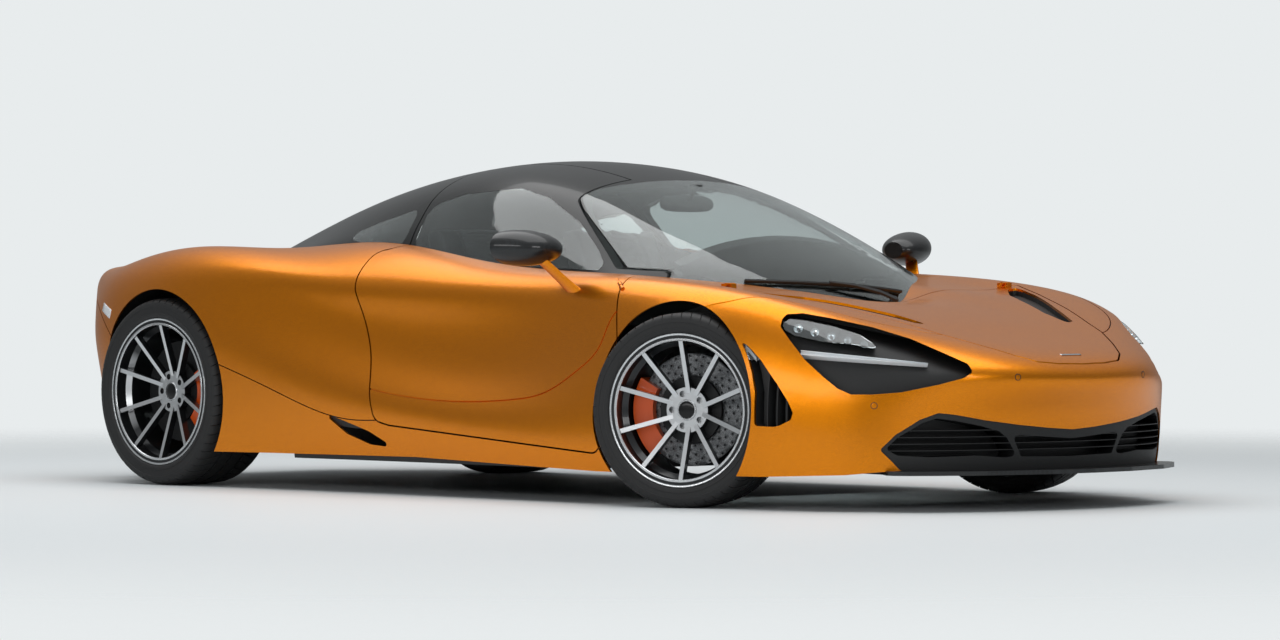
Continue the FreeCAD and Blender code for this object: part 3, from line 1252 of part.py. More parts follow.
def arm(x, kingpin_y, wheel_z, side_z, pin_up):
    """A wishbone from a beam out to the ball on the steering axis."""
    root = ARM_ROOT_HALF
    tip = ARM_TIP_HALF
    points = [Vector(x - root, BEAM_Y + BEAM, 0), Vector(x - tip, kingpin_y - tip, 0),
              Vector(x - tip, kingpin_y + tip, 0), Vector(x + tip, kingpin_y + tip, 0),
              Vector(x + tip, kingpin_y - tip, 0), Vector(x + root, BEAM_Y + BEAM, 0),
              Vector(x + root - ARM_THICK, BEAM_Y + BEAM, 0), Vector(x, kingpin_y - tip - ARM_THICK, 0),
              Vector(x - root + ARM_THICK, BEAM_Y + BEAM, 0)]
    plate = Part.Face(Part.makePolygon(points + points[:1])).extrude(Vector(0, 0, ARM_THICK))
    plate.translate(Vector(0, 0, wheel_z + side_z - ARM_THICK / 2))
    base = wheel_z + side_z + (ARM_THICK / 2 if pin_up else -ARM_THICK / 2)
    along = Vector(0, 0, 1 if pin_up else -1)
    pin = Part.makeCylinder(PIN_RADIUS, PIN_LENGTH, Vector(x, kingpin_y, base), along)
    post_top = wheel_z + side_z + ARM_THICK / 2
    post = block(x - root, x + root, BEAM_Y + BEAM, BEAM_Y + BEAM + ARM_THICK / 2,
                 min(BEAM_Z, post_top - ARM_THICK), max(BEAM_Z + BEAM, post_top))
    return plate.multiFuse([pin, post])


def side_slab(points, y_from, y_to, radius):
    """A rounded outline in side view, carried across the car."""
    wire = rounded_wire([Vector(x, 0, z) for x, z in points], radius)
    return wire_prism(wire, Vector(0, 1, 0), y_from, y_to, 0)


def seat():
    """A bucket seat: cushion and tall back with raised side bolsters, as one shell."""
    w = SEAT_HALF_WIDTH
    deep = SEAT_BACK_DEPTH
    x, z = SEAT_X, FLOOR_Z + FLOOR_WALL
    points = [(x + SEAT_LENGTH, z + SEAT_FRONT_RISE), (x + SEAT_LENGTH, z), (x - deep, z),
              (x - SEAT_LEAN - deep, z + SEAT_TALL), (x - SEAT_LEAN, z + SEAT_TALL),
              (x + deep / 2, z + SEAT_FRONT_RISE - deep / 2)]
    body = side_slab(points, SEAT_Y - w, SEAT_Y + w, deep / 2)
    high = BOLSTER_RISE
    raised = [(x + SEAT_LENGTH - high, z + SEAT_FRONT_RISE + high), (x + SEAT_LENGTH - high, z),
              (x - deep, z),
              (x - SEAT_LEAN * BOLSTER_SHARE - deep, z + SEAT_TALL * BOLSTER_SHARE),
              (x - SEAT_LEAN * BOLSTER_SHARE + high / 2, z + SEAT_TALL * BOLSTER_SHARE),
              (x + deep / 2 + high, z + SEAT_FRONT_RISE + high - deep / 2)]
    near = side_slab(raised, SEAT_Y - w, SEAT_Y - w + BOLSTER_WIDTH, deep / 2)
    far = side_slab(raised, SEAT_Y + w - BOLSTER_WIDTH, SEAT_Y + w, deep / 2)
    return body.multiFuse([near, far])


def dashboard():
    x, z = TUB_FRONT_X - BULKHEAD, DASH_TOP_Z
    points = [(x, z), (x, z - DASH_TALL), (x - DASH_DEPTH / 2, z - DASH_TALL),
              (x - DASH_DEPTH, z - DASH_TALL / 2),
              (x - DASH_DEPTH, z - DASH_TALL / 5)]
    slab = side_slab(points, -DASH_HALF_WIDTH, DASH_HALF_WIDTH, DASH_ROUND)
    return slab


def steering_axis():
    tilt = math.radians(STEERING_TILT_DEG)
    return Vector(math.cos(tilt), 0, -math.sin(tilt))


def steering_wheel():
    """Rim, hub, three spokes and the shaft that turns in the column."""
    axis = steering_axis()
    centre = Vector(STEERING_X, SEAT_Y, STEERING_Z)
    rim = Part.makeTorus(STEERING_RADIUS, STEERING_RIM, centre, axis)
    hub = Part.makeCylinder(COLUMN_RADIUS * 2, STEERING_RIM * 4, centre - axis * STEERING_RIM, axis)
    shaft = Part.makeCylinder(COLUMN_RADIUS / 2, COLUMN_LENGTH, centre + axis * STEERING_RIM, axis)
    bars = []
    for angle in (0, 180, 270):
        thin = STEERING_RIM * BAR_SHARE
        bar = block(0, STEERING_RADIUS, -STEERING_RIM, STEERING_RIM, -thin, thin)
        bar.rotate(Vector(0, 0, 0), Vector(0, 0, 1), angle + 90)
        bar.rotate(Vector(0, 0, 0), Vector(0, 1, 0), 90 + STEERING_TILT_DEG)
        bar.translate(centre)
        bars.append(bar)
    return rim.multiFuse([hub, shaft] + bars)


def steering_column():
    axis = steering_axis()
    start = Vector(STEERING_X, SEAT_Y, STEERING_Z) + axis * (STEERING_RIM * 3 + COLUMN_RADIUS)
    tube = Part.makeCylinder(COLUMN_RADIUS, COLUMN_LENGTH, start, axis)
    return tube.cut(Part.makeCylinder(COLUMN_RADIUS / 2 + FIT, COLUMN_LENGTH, start - axis * FIT, axis))


def oval(centre, major, minor):
    """A closed oval about a centre, from its two half axes as vectors."""
    return Part.Wire(Part.Ellipse(centre + major, centre + minor, centre).toShape())


def mirror_body():
    """A wing mirror's housing: ovals across the car, cut flat where the glass sits."""
    ovals = []
    for x, y, z, long, tall in MIRROR_OVALS:
        ovals.append(oval(Vector(x, y, z), Vector(long, 0, 0), Vector(0, 0, tall)))
    housing = Part.makeLoft(ovals, True, False)
    behind = block(0, MIRROR_CUT_X, 0, WIDTH, 0, HEIGHT)
    return largest(housing.cut(behind))


def mirror_stalk():
    """The flat painted blade that carries the mirror out from the door."""
    foot, top = Vector(*STALK_FOOT), Vector(*STALK_TOP)
    along = top - foot
    along.normalize()
    across = along.cross(AHEAD)
    across.normalize()
    ovals = []
    for place_at, (long, thin) in zip((foot, (foot + top) / 2, top), STALK_OVALS):
        ovals.append(oval(place_at, AHEAD * long, across * thin))
    return Part.makeLoft(ovals, True, False)


def steered(shape, side):
    """A front corner's piece, built with the wheel's middle at the origin, at its place."""
    return placed(shape, side, FRONT_AXLE_X, FRONT_TRACK, FRONT_TYRE_RADIUS, STEER_DEG)


def placed(shape, side, x, track, z, steer):
    shape = shape.copy() if side > 0 else mirrored(shape)
    kingpin = Vector(0, -side * KINGPIN_INSET, 0)
    shape.rotate(kingpin, Vector(0, 0, 1), steer)
    shape.translate(Vector(x, side * track / 2, z))
    return shape


def wheels():
    nodes = {}
    front = {
        "tyre": tyre(FRONT_TYRE_RADIUS, FRONT_FLANGE_RADIUS, FRONT_TYRE_WIDTH, FRONT_SEAT_RADIUS,
                     FRONT_RIM_WIDTH / 2),
        "rim": rim(FRONT_SEAT_RADIUS, FRONT_FLANGE_RADIUS, FRONT_RIM_WIDTH / 2),
        "brake_disc": brake_disc(FRONT_DISC_RADIUS),
        "knuckle": bored(upright(-1)),
        "caliper": caliper(FRONT_DISC_RADIUS, FRONT_CALIPER_DEG),
    }
    rear_shift = (REAR_RIM_WIDTH - FRONT_RIM_WIDTH) / 2
    rear = {
        "tyre": tyre(REAR_TYRE_RADIUS, REAR_FLANGE_RADIUS, REAR_TYRE_WIDTH, REAR_SEAT_RADIUS,
                     REAR_RIM_WIDTH / 2),
        "rim": rim(REAR_SEAT_RADIUS, REAR_FLANGE_RADIUS, REAR_RIM_WIDTH / 2),
        "brake_disc": moved_out(brake_disc(REAR_DISC_RADIUS), rear_shift),
        "caliper": moved_out(caliper(REAR_DISC_RADIUS, REAR_CALIPER_DEG), rear_shift),
        "upright": moved_out(bored(upright(1)), rear_shift),
    }
    for side, letter in ((1, "l"), (-1, "r")):
        for name, shape in front.items():
            nodes[name + "_f" + letter] = steered(shape, side)
        for name in ("tyre", "rim", "brake_disc"):
            nodes[name + "_r" + letter] = placed(rear[name], side, REAR_AXLE_X, REAR_TRACK,
                                                 REAR_TYRE_RADIUS, 0)
    for name, node in (("caliper", "rear_calipers"), ("upright", "rear_uprights")):
        nodes[node] = Part.makeCompound([placed(rear[name], side, REAR_AXLE_X, REAR_TRACK, REAR_TYRE_RADIUS, 0)
                                         for side in (1, -1)])
    return nodes


def bored(shape):
    """An upright with the bores for the wishbones' pins."""
    for level, up in ((-UPRIGHT_DOWN, 1), (UPRIGHT_UP, -1)):
        start = Vector(0, -KINGPIN_INSET, level)
        shape = shape.cut(Part.makeCylinder(PIN_RADIUS + FIT, PIN_LENGTH, start, Vector(0, 0, up)))
    return shape


def moved_out(shape, distance):
    shape.translate(Vector(0, distance, 0))
    return shape


def suspension():
    kingpin_y = FRONT_TRACK / 2 - KINGPIN_INSET
    front = [arm(FRONT_AXLE_X, kingpin_y, FRONT_TYRE_RADIUS, -LOWER_ARM_DROP, True),
             arm(FRONT_AXLE_X, kingpin_y, FRONT_TYRE_RADIUS, UPPER_ARM_RISE, False)]
    rear_y = REAR_TRACK / 2 - KINGPIN_INSET + (REAR_RIM_WIDTH - FRONT_RIM_WIDTH) / 2
    rear = [arm(REAR_AXLE_X, rear_y, REAR_TYRE_RADIUS, -LOWER_ARM_DROP, True),
            arm(REAR_AXLE_X, rear_y, REAR_TYRE_RADIUS, UPPER_ARM_RISE, False)]
    return {
        "front_suspension": Part.makeCompound(front + [mirrored(a) for a in front]),
        "rear_suspension": Part.makeCompound(rear + [mirrored(a) for a in rear]),
    }


def end_trim():
    """The flat splitter under the nose and the finned diffuser under the tail."""
    splitter = plan_prism(SPLITTER_SHARES, SPLITTER_Z, SPLITTER_Z + SPLITTER_WALL, 0, OUTLINE_ROUND)
    return {"splitter": splitter, "diffuser": diffuser_slab()}


def diffuser_slab():
    return side_prism(DIFFUSER_SHARES, -DIFFUSER_HALF_WIDTH, DIFFUSER_HALF_WIDTH, 0, FIT)


def liners(s):
    """Hollow half-drums over the wheels, seated on the inside of the panels."""
    result = []
    outer = arch_rods(LINER_RADIUS_FRONT + LINER_WALL, LINER_RADIUS_REAR + LINER_WALL, LINER_INNER_Y, WIDTH)
    inner = arch_rods(LINER_RADIUS_FRONT, LINER_RADIUS_REAR, 0, WIDTH * 2)
    below = block(-LENGTH, LENGTH, 0, WIDTH, -OVERRUN, LINER_BOTTOM_Z)
    places = ((FRONT_AXLE_X + ARCH_SHIFT, LINER_RADIUS_FRONT), (REAR_AXLE_X, LINER_RADIUS_REAR))
    for drum, hollow, (x, radius) in zip(outer, inner, places):
        ring = drum.cut(hollow).cut(below)
        inside = Vector(x, LINER_INNER_Y, radius * 2)
        for cutter in (s.left, s.carrier, s.core, s.door_out, s.bonnet_out):
            ring = piece_at(ring.cut(cutter), inside)
        result.append(ring)
    return both_sides(Part.makeCompound(result))


def build():
    s = Skins()
    nodes = {}
    nodes.update(body_panels(s))
    nodes.update(end_trim())
    nodes["splitter"] = largest(nodes["splitter"].cut(nodes["front_bumper"]))
    nodes["panel_carriers"] = panel_carriers(s)
    nodes.update(cabin_shells(s))
    left_door, left_frame = door(s)
    nodes["door_frame_left"] = left_frame
    nodes["door_frame_right"] = mirrored(left_frame)
    glass = door_glass(s)
    nodes["door_glass_left"] = glass
    nodes["door_glass_right"] = mirrored(glass)
    mirror = mirror_body()
    left_door = left_door.cut(mirror)
    nodes["mirror_left"] = mirror
    nodes["mirror_right"] = mirrored(mirror)
    nodes.update(front_fittings(s))
    nodes.update(tail_fittings(s))
    nodes.update(structure(s))
    nodes.update(wheels())
    nodes.update(suspension())
    beside = [nodes["panel_carriers"], nodes["roof"], nodes["grilles"]]
    nodes["wheel_liners"] = main_solids(liners(s).cut(beside))
    nodes["seats"] = both_sides(seat())
    nodes["luggage_tray"] = luggage_tray()
    nodes["dashboard"] = dashboard().cut(column_bore())
    nodes["steering_wheel"] = steering_wheel()
    nodes["steering_column"] = steering_column()
    hang_lids(nodes)
    nodes["door_left"], nodes["front_fenders"] = hang_door(left_door, nodes["front_fenders"])
    nodes["door_right"] = mirrored(nodes["door_left"])
    return nodes


def column_bore():
    axis = steering_axis()
    start = Vector(STEERING_X, SEAT_Y, STEERING_Z)
    return Part.makeCylinder(COLUMN_RADIUS, LENGTH / 4, start, axis)


def main():
    os.makedirs("parts", exist_ok=True)
    for name, shape in build().items():
        shape.exportStep("parts/" + name + ".step")


if __name__ == "__main__":
    main()
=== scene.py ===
import json
import math

import bmesh
import bpy
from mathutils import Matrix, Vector
from mathutils.bvhtree import BVHTree


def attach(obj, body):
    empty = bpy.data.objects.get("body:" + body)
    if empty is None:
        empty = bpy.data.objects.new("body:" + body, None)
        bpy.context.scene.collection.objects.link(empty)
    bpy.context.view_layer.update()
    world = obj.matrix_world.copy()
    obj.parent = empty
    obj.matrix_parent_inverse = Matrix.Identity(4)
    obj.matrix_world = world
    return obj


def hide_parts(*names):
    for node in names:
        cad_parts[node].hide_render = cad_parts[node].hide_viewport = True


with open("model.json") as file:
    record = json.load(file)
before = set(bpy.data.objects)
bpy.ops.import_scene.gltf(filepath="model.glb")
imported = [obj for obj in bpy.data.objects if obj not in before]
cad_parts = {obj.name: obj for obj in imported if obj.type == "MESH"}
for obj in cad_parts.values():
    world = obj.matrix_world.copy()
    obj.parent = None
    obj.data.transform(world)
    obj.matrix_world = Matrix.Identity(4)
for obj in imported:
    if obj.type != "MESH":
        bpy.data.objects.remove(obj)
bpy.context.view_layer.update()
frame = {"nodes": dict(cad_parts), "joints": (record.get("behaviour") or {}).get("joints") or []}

bl_info = {
    "name": "Mid-engined sports car dressing",
    "version": (1, 1, 0),
    "blender": (4, 5, 0),
    "location": "View3D > Sidebar > Sports Car",
    "description": "Dresses the packed sports car with finishes, tyres, brakes, lamps, trim, seats "
                   "and a studio",
    "category": "Object",
}

MM = 0.001
FORWARD, LEFT, UP = Vector((1, 0, 0)), Vector((0, 1, 0)), Vector((0, 0, 1))
SIDES = {"left": 1, "right": -1}
JOINTS = {joint["name"]: joint for joint in frame["joints"]}
WHEEL_JOINTS = {"fl": "spin_front_left", "fr": "spin_front_right", "rl": "spin_rear_left",
                "rr": "spin_rear_right"}


# Colours and nodes

def linear(hex_colour):
    """An sRGB hex colour as linear RGBA."""
    channels = [int(hex_colour[k:k + 2], 16) / 255 for k in (0, 2, 4)]
    return tuple(c / 12.92 if c <= 0.04045 else ((c + 0.055) / 1.055) ** 2.4 for c in channels) + (1.0,)


def per_metre(size_mm):
    """The scale of a texture whose cells are that many millimetres across."""
    return 1 / (size_mm * MM)


def add(tree, kind, values=None, links=None, **settings):
    """Adds a node with its settings, socket values and incoming links."""
    node = tree.nodes.new(kind)
    for name, value in settings.items():
        setattr(node, name, value)
    for socket, value in (values or {}).items():
        node.inputs[socket].default_value = value
    for socket, source in (links or {}).items():
        tree.links.new(source, node.inputs[socket])
    return node


def finish(name, hex_colour, **values):
    """A new material of one colour and these shader values, with its tree, shader and object place."""
    material = bpy.data.materials.new(name)
    material.use_nodes = True
    tree = material.node_tree
    shader = tree.nodes["Principled BSDF"]
    shader.inputs["Base Color"].default_value = linear(hex_colour)
    for socket, value in values.items():
        shader.inputs[socket.replace("_", " ")].default_value = value
    place = add(tree, "ShaderNodeTexCoord").outputs["Object"]
    return material, tree, shader, place


def relieved(tree, shader, height, depth_mm, strength):
    """Lays a relief of that height under the shader."""
    relief = add(tree, "ShaderNodeBump", {"Strength": strength, "Distance": depth_mm * MM},
                 {"Height": height})
    tree.links.new(relief.outputs["Normal"], shader.inputs["Normal"])


def grained(tree, shader, place, cell_mm, depth_mm, strength, detail=3.0):
    """Lays a noise relief of that grain size under the shader, and returns its value."""
    grain = add(tree, "ShaderNodeTexNoise", {"Scale": per_metre(cell_mm), "Detail": detail},
                {"Vector": place})
    relieved(tree, shader, grain.outputs["Fac"], depth_mm, strength)
    return grain.outputs["Fac"]


def textured(name, hex_colour, grain, rough=(), **values):
    """A finish with a grain (size and depth in mm, strength, detail), which may vary its roughness too."""
    material, tree, shader, place = finish(name, hex_colour, **values)
    value = grained(tree, shader, place, *grain)
    if rough:
        roughened(tree, value, *rough, shader)
    return material


def fluted(tree, shader, place, pitch_mm, depth_mm, strength, direction):
    """Lays a relief of even flutes under the shader, and returns its value."""
    flutes = add(tree, "ShaderNodeTexWave", {"Scale": per_metre(pitch_mm) / 10}, {"Vector": place},
                 bands_direction=direction)
    relieved(tree, shader, flutes.outputs["Fac"], depth_mm, strength)
    return flutes.outputs["Fac"]


def speckled(tree, place, cell_mm):
    """Two values, each drawn at random for every cell of that size."""
    cells = add(tree, "ShaderNodeTexVoronoi", {"Scale": per_metre(cell_mm)}, {"Vector": place})
    spread = add(tree, "ShaderNodeSeparateColor", links={"Color": cells.outputs["Color"]})
    return spread.outputs["Red"], spread.outputs["Green"]


def shaded(tree, value, dark, bright, target, low=0.3, high=0.7):
    """Colours a socket from dark to bright as a value goes from low to high."""
    share = add(tree, "ShaderNodeMapRange", {"From Min": low, "From Max": high}, {"Value": value})
    mix = add(tree, "ShaderNodeMix", {"A": linear(dark), "B": linear(bright)},
              {"Factor": share.outputs["Result"]}, data_type="RGBA")
    tree.links.new(mix.outputs["Result"], target)


def roughened(tree, value, low, high, shader):
    """Lets the roughness vary between two values."""
    span = add(tree, "ShaderNodeMapRange", {"To Min": low, "To Max": high}, {"Value": value})
    tree.links.new(span.outputs["Result"], shader.inputs["Roughness"])


# Finishes

FINISHES = {}


def made(maker):
    """The finish that a maker gives, made once."""
    if maker.__name__ not in FINISHES:
        FINISHES[maker.__name__] = maker()
    return FINISHES[maker.__name__]


def orange_metallic_lacquer():
    """Base coat with aluminium flake under clear lacquer: deep in shade, bright towards the light."""
    settings = bpy.context.scene.car_paint
    material, tree, shader, place = finish("orange_metallic_lacquer", settings.deep, Metallic=1.0,
                                           Roughness=0.34, Coat_Weight=0.3, Coat_Roughness=0.15, Coat_IOR=1.5)
    flake, tilt = speckled(tree, place, settings.flake_mm)
    shaded(tree, flake, settings.deep, settings.bright, shader.inputs["Base Color"], 0.0, 1.0)
    relieved(tree, shader, tilt, 0.1, 0.05)
    return material


def black_gloss_lacquer():
    """Black lacquer over moulded composite: dark, with soft clear reflections and a faint orange peel."""
    return textured("black_gloss_lacquer", "060708", (6.0, 0.02, 0.25, 1.0), Roughness=0.3,
                    Specular_IOR_Level=0.2, Coat_Weight=0.25, Coat_Roughness=0.06)


def woven_carbon_lacquer():
    """Carbon twill under lacquer: tows catch light by turns in small diamonds, at twice their real 2 mm."""
    material, tree, shader, place = finish("woven_carbon_lacquer", "0E1012", Roughness=0.4,
                                           Specular_IOR_Level=0.3, Coat_Weight=0.5, Coat_Roughness=0.06)
    skewed = add(tree, "ShaderNodeMapping", {"Rotation": (0.785, 0.615, 0.785)}, {"Vector": place})
    weave = add(tree, "ShaderNodeTexChecker", {"Scale": per_metre(4.0)}, {"Vector": skewed.outputs["Vector"]})
    shaded(tree, weave.outputs["Fac"], "08090A", "1C1F22", shader.inputs["Base Color"], 0.0, 1.0)
    relieved(tree, shader, weave.outputs["Fac"], 0.1, 0.3)
    return material


def tinted_glass():
    """Laminated glass, lightly tinted, with a film against glare: the seats show through, dimmed."""
    return textured("tinted_glass", "CDD5D4", (400.0, 0.05, 0.05, 0.0), Roughness=0.0, IOR=1.5,
                    Transmission_Weight=1.0, Specular_IOR_Level=0.25)


def clear_polycarbonate():
    """Hard-coated clear lamp cover: glassy, with a faint moulding ripple."""
    return textured("clear_polycarbonate", "DDE2E4", (60.0, 0.05, 0.1, 0.0), Roughness=0.02, IOR=1.58,
                    Transmission_Weight=1.0)


def red_lamp_plastic():
    """Dark red acrylic over the rear lamps, moulded with fine upright flutes."""
    material, tree, shader, place = finish("red_lamp_plastic", "5A0608", Roughness=0.12, Coat_Weight=1.0)
    flutes = fluted(tree, shader, place, 6.0, 0.5, 0.4, "Y")
    shaded(tree, flutes, "3E0305", "7C0A0C", shader.inputs["Base Color"], 0.0, 1.0)
    return material


def moulded_black_plastic():
    """Polypropylene from a grained mould: dull, with a fine pebbled grain drawn at 1.2 mm."""
    return textured("moulded_black_plastic", "131415", (1.2, 0.2, 0.4), (0.45, 0.65), Roughness=0.55)


def cast_aluminium():
    """Sand-cast aluminium alloy, bare: grey, matt and slightly pitted."""
    return textured("cast_aluminium", "8F9295", (2.5, 0.3, 0.4), (0.4, 0.65), Metallic=1.0, Roughness=0.5)


def machined_alloy():
    """Forged wheel: faces square to the axle are turned bright, the rest keeps its dark grey paint."""
    material, tree, shader, place = finish("machined_alloy", "B9BBBD", Roughness=0.3, Coat_Weight=0.5,
                                           Coat_Roughness=0.08)
    facing = add(tree, "ShaderNodeTexCoord").outputs["Normal"]
    leans = []
    for corner in ("fl", "rl"):
        lean = add(tree, "ShaderNodeVectorMath", {1: JOINTS[WHEEL_JOINTS[corner]]["axis"]}, {0: facing},
                   operation="DOT_PRODUCT")
        leans.append(add(tree, "ShaderNodeMath", links={0: lean.outputs["Value"]},
                         operation="ABSOLUTE").outputs[0])
    square = add(tree, "ShaderNodeMath", links={0: leans[0], 1: leans[1]}, operation="MAXIMUM").outputs[0]
    cut = add(tree, "ShaderNodeMapRange", {"From Min": 0.86, "From Max": 0.9},
              {"Value": square}).outputs["Result"]
    turning = add(tree, "ShaderNodeTexNoise", {"Scale": per_metre(1.5), "Detail": 2.0}, {"Vector": place})
    swirl = add(tree, "ShaderNodeMapRange", {"To Min": 0.85, "To Max": 1.0},
                {"Value": turning.outputs["Fac"]})
    bright = add(tree, "ShaderNodeMix", {"A": linear("7E8184"), "B": linear("CCCED0")},
                 {"Factor": swirl.outputs["Result"]}, data_type="RGBA")
    shade = add(tree, "ShaderNodeMix", {"A": linear("232527")},
                {"Factor": cut, "B": bright.outputs["Result"]}, data_type="RGBA")
    tree.links.new(shade.outputs["Result"], shader.inputs["Base Color"])
    metal = add(tree, "ShaderNodeMapRange", {"To Min": 0.5, "To Max": 0.9}, {"Value": cut})
    tree.links.new(metal.outputs["Result"], shader.inputs["Metallic"])
    return material


def polished_alloy():
    """Diamond-turned wheel lip: bright, with fine rings left by the tool, drawn at 1 mm."""
    return textured("polished_alloy", "CFD1D3", (1.0, 0.05, 0.2), (0.2, 0.32), Metallic=0.9, Roughness=0.25)


def graphite_paint():
    """Satin dark grey paint in the grooves and pockets of the wheels."""
    return textured("graphite_paint", "1C1E20", (2.0, 0.05, 0.3), Metallic=0.4, Roughness=0.4)


def tyre_rubber():
    """Carbon-black filled rubber: nearly black and dull, with fine mould grain and a little dust."""
    material, tree, shader, place = finish("tyre_rubber", "151516", Roughness=0.65)
    dust = grained(tree, shader, place, 3.0, 0.2, 0.35, 5.0)
    shaded(tree, dust, "101011", "1E1E1F", shader.inputs["Base Color"])
    roughened(tree, dust, 0.55, 0.75, shader)
    return material


def carbon_ceramic():
    """Carbon-ceramic disc face: satin mid grey with a fibre speckle, drawn at 2 mm."""
    material, tree, shader, place = finish("carbon_ceramic", "6A6C6E", Metallic=0.4, Roughness=0.42)
    fibre, wear = speckled(tree, place, 2.0)
    shaded(tree, fibre, "4A4C4E", "8C8E90", shader.inputs["Base Color"], 0.0, 1.0)
    roughened(tree, wear, 0.3, 0.5, shader)
    return material


def dark_disc_core():
    """Vented inside of the disc, seen only in its drillings and edge: dark and matt."""
    return textured("dark_disc_core", "1E1F20", (2.0, 0.2, 0.4), Metallic=0.3, Roughness=0.6)


def orange_caliper_lacquer():
    """Baked orange lacquer on a cast caliper, with the casting's soft ripple under it."""
    return textured("orange_caliper_lacquer", "E0560A", (12.0, 0.3, 0.3), Roughness=0.3, Coat_Weight=0.5)


def brushed_stainless():
    """Exhaust steel brushed along its length: grey, streaked, slightly yellowed by heat."""
    material, tree, shader, place = finish("brushed_stainless", "A39E94", Metallic=1.0, Roughness=0.3)
    drawn = add(tree, "ShaderNodeMapping", {"Scale": (0.05, 1.0, 1.0)}, {"Vector": place})
    grain = grained(tree, shader, drawn.outputs["Vector"], 1.0, 0.05, 0.3)
    roughened(tree, grain, 0.22, 0.42, shader)
    return material


def bright_trim():
    """Satin bright metal of a bare badge plate and lamp edges."""
    return textured("bright_trim", "C8CACC", (1.0, 0.02, 0.2), Metallic=1.0, Roughness=0.22)


def mirror_silver():
    """Silvered glass of the mirrors, with the slightest waviness of float glass."""
    return textured("mirror_silver", "E8ECEE", (200.0, 0.05, 0.05, 0.0), Metallic=1.0, Roughness=0.02)


def white_light_guide():
    """Frosted acrylic light bar, unlit: white and slightly glossy, faceted across every 4 mm."""
    material, tree, shader, place = finish("white_light_guide", "E9EDF0", Roughness=0.2, Coat_Weight=0.6)
    fluted(tree, shader, place, 4.0, 0.3, 0.3, "X")
    return material


def dark_leather():
    """Pigmented cow hide, near black, with a pebbled grain drawn at 2.5 mm."""
    material, tree, shader, place = finish("dark_leather", "1D1D1F", Roughness=0.5)
    pebble = add(tree, "ShaderNodeTexVoronoi", {"Scale": per_metre(2.5)}, {"Vector": place})
    relieved(tree, shader, pebble.outputs["Distance"], 0.3, 0.35)
    shaded(tree, pebble.outputs["Distance"], "252527", "141415", shader.inputs["Base Color"], 0.1, 0.7)
    return material


def grey_suede():
    """Microfibre suede in the seat centres: soft dark grey nap, brushed in patches."""
    material, tree, shader, place = finish("grey_suede", "2C2D30", Roughness=0.9, Sheen_Weight=0.4)
    nap = grained(tree, shader, place, 6.0, 0.2, 0.3, 4.0)
    shaded(tree, nap, "232427", "38393C", shader.inputs["Base Color"])
    return material


def dark_screen_glass():
    """Black-printed display glass, off: deep black with a clear gloss and a faint ripple."""
    return textured("dark_screen_glass", "07080A", (50.0, 0.02, 0.1, 0.0), Roughness=0.08, Coat_Weight=1.0)


def studio_floor():
    """Matt painted studio floor: pale by the car, further out it runs into the backdrop without an edge."""
    settings = bpy.context.scene.car_stage
    material, tree, shader, place = finish("studio_floor", settings.floor, Roughness=0.5,
                                           Specular_IOR_Level=0.25)
    worn = grained(tree, shader, place, 30.0, 0.2, 0.05)
    roughened(tree, worn, 0.45, 0.6, shader)
    away = add(tree, "ShaderNodeVectorMath", links={0: place}, operation="LENGTH").outputs["Value"]
    fade = add(tree, "ShaderNodeMapRange", {"From Min": settings.fade_start, "From Max": settings.fade_end},
               {"Value": away}, interpolation_type="SMOOTHSTEP").outputs["Result"]
    clear = add(tree, "ShaderNodeBsdfTransparent")
    both = add(tree, "ShaderNodeMixShader", links={0: fade, 1: shader.outputs["BSDF"],
                                                   2: clear.outputs["BSDF"]})
    tree.links.new(both.outputs["Shader"], tree.nodes["Material Output"].inputs["Surface"])
    return material


NODE_FINISHES = {
    orange_metallic_lacquer: ("front_bumper", "front_fenders", "side_skirts", "quarter_panels", "rear_deck",
                              "rear_bumper", "door_left", "door_right", "bonnet", "rear_wing"),
    black_gloss_lacquer: ("roof", "cabin_frame", "door_frame_left", "door_frame_right"),
    woven_carbon_lacquer: ("splitter", "diffuser", "mirror_left", "mirror_right"),
    tinted_glass: ("windscreen", "rear_glass", "quarter_glass", "door_glass_left", "door_glass_right"),
    clear_polycarbonate: ("lamp_lenses",),
    red_lamp_plastic: ("tail_lamps",),
    moulded_black_plastic: ("wheel_liners", "panel_carriers", "tub", "headlamps", "grilles", "bonnet_vents",
                            "luggage_tray"),
    cast_aluminium: ("front_frame", "rear_frame", "engine_block", "front_suspension", "rear_suspension",
                     "rear_uprights", "steering_column", "knuckle_fl", "knuckle_fr"),
    machined_alloy: ("rim_fl", "rim_fr", "rim_rl", "rim_rr"),
    tyre_rubber: ("tyre_fl", "tyre_fr", "tyre_rl", "tyre_rr"),
    dark_disc_core: ("brake_disc_fl", "brake_disc_fr", "brake_disc_rl", "brake_disc_rr"),
    orange_caliper_lacquer: ("rear_calipers", "caliper_fl", "caliper_fr"),
    brushed_stainless: ("exhausts",),
    dark_leather: ("seats", "dashboard", "steering_wheel"),
}


# Shapes

def net(rows, around=False, along=False, ends=False):
    """The points of some rows of like length, and the faces between them."""
    wide = len(rows[0])
    faces = []
    for i in range(len(rows) if along else len(rows) - 1):
        here, ahead = i * wide, (i + 1) % len(rows) * wide
        for j in range(wide if around else wide - 1):
            k = (j + 1) % wide
            faces.append((here + j, here + k, ahead + k, ahead + j))
    if ends:
        last = (len(rows) - 1) * wide
        faces += [tuple(range(wide)), tuple(last + j for j in reversed(range(wide)))]
    return [p for row in rows for p in row], faces


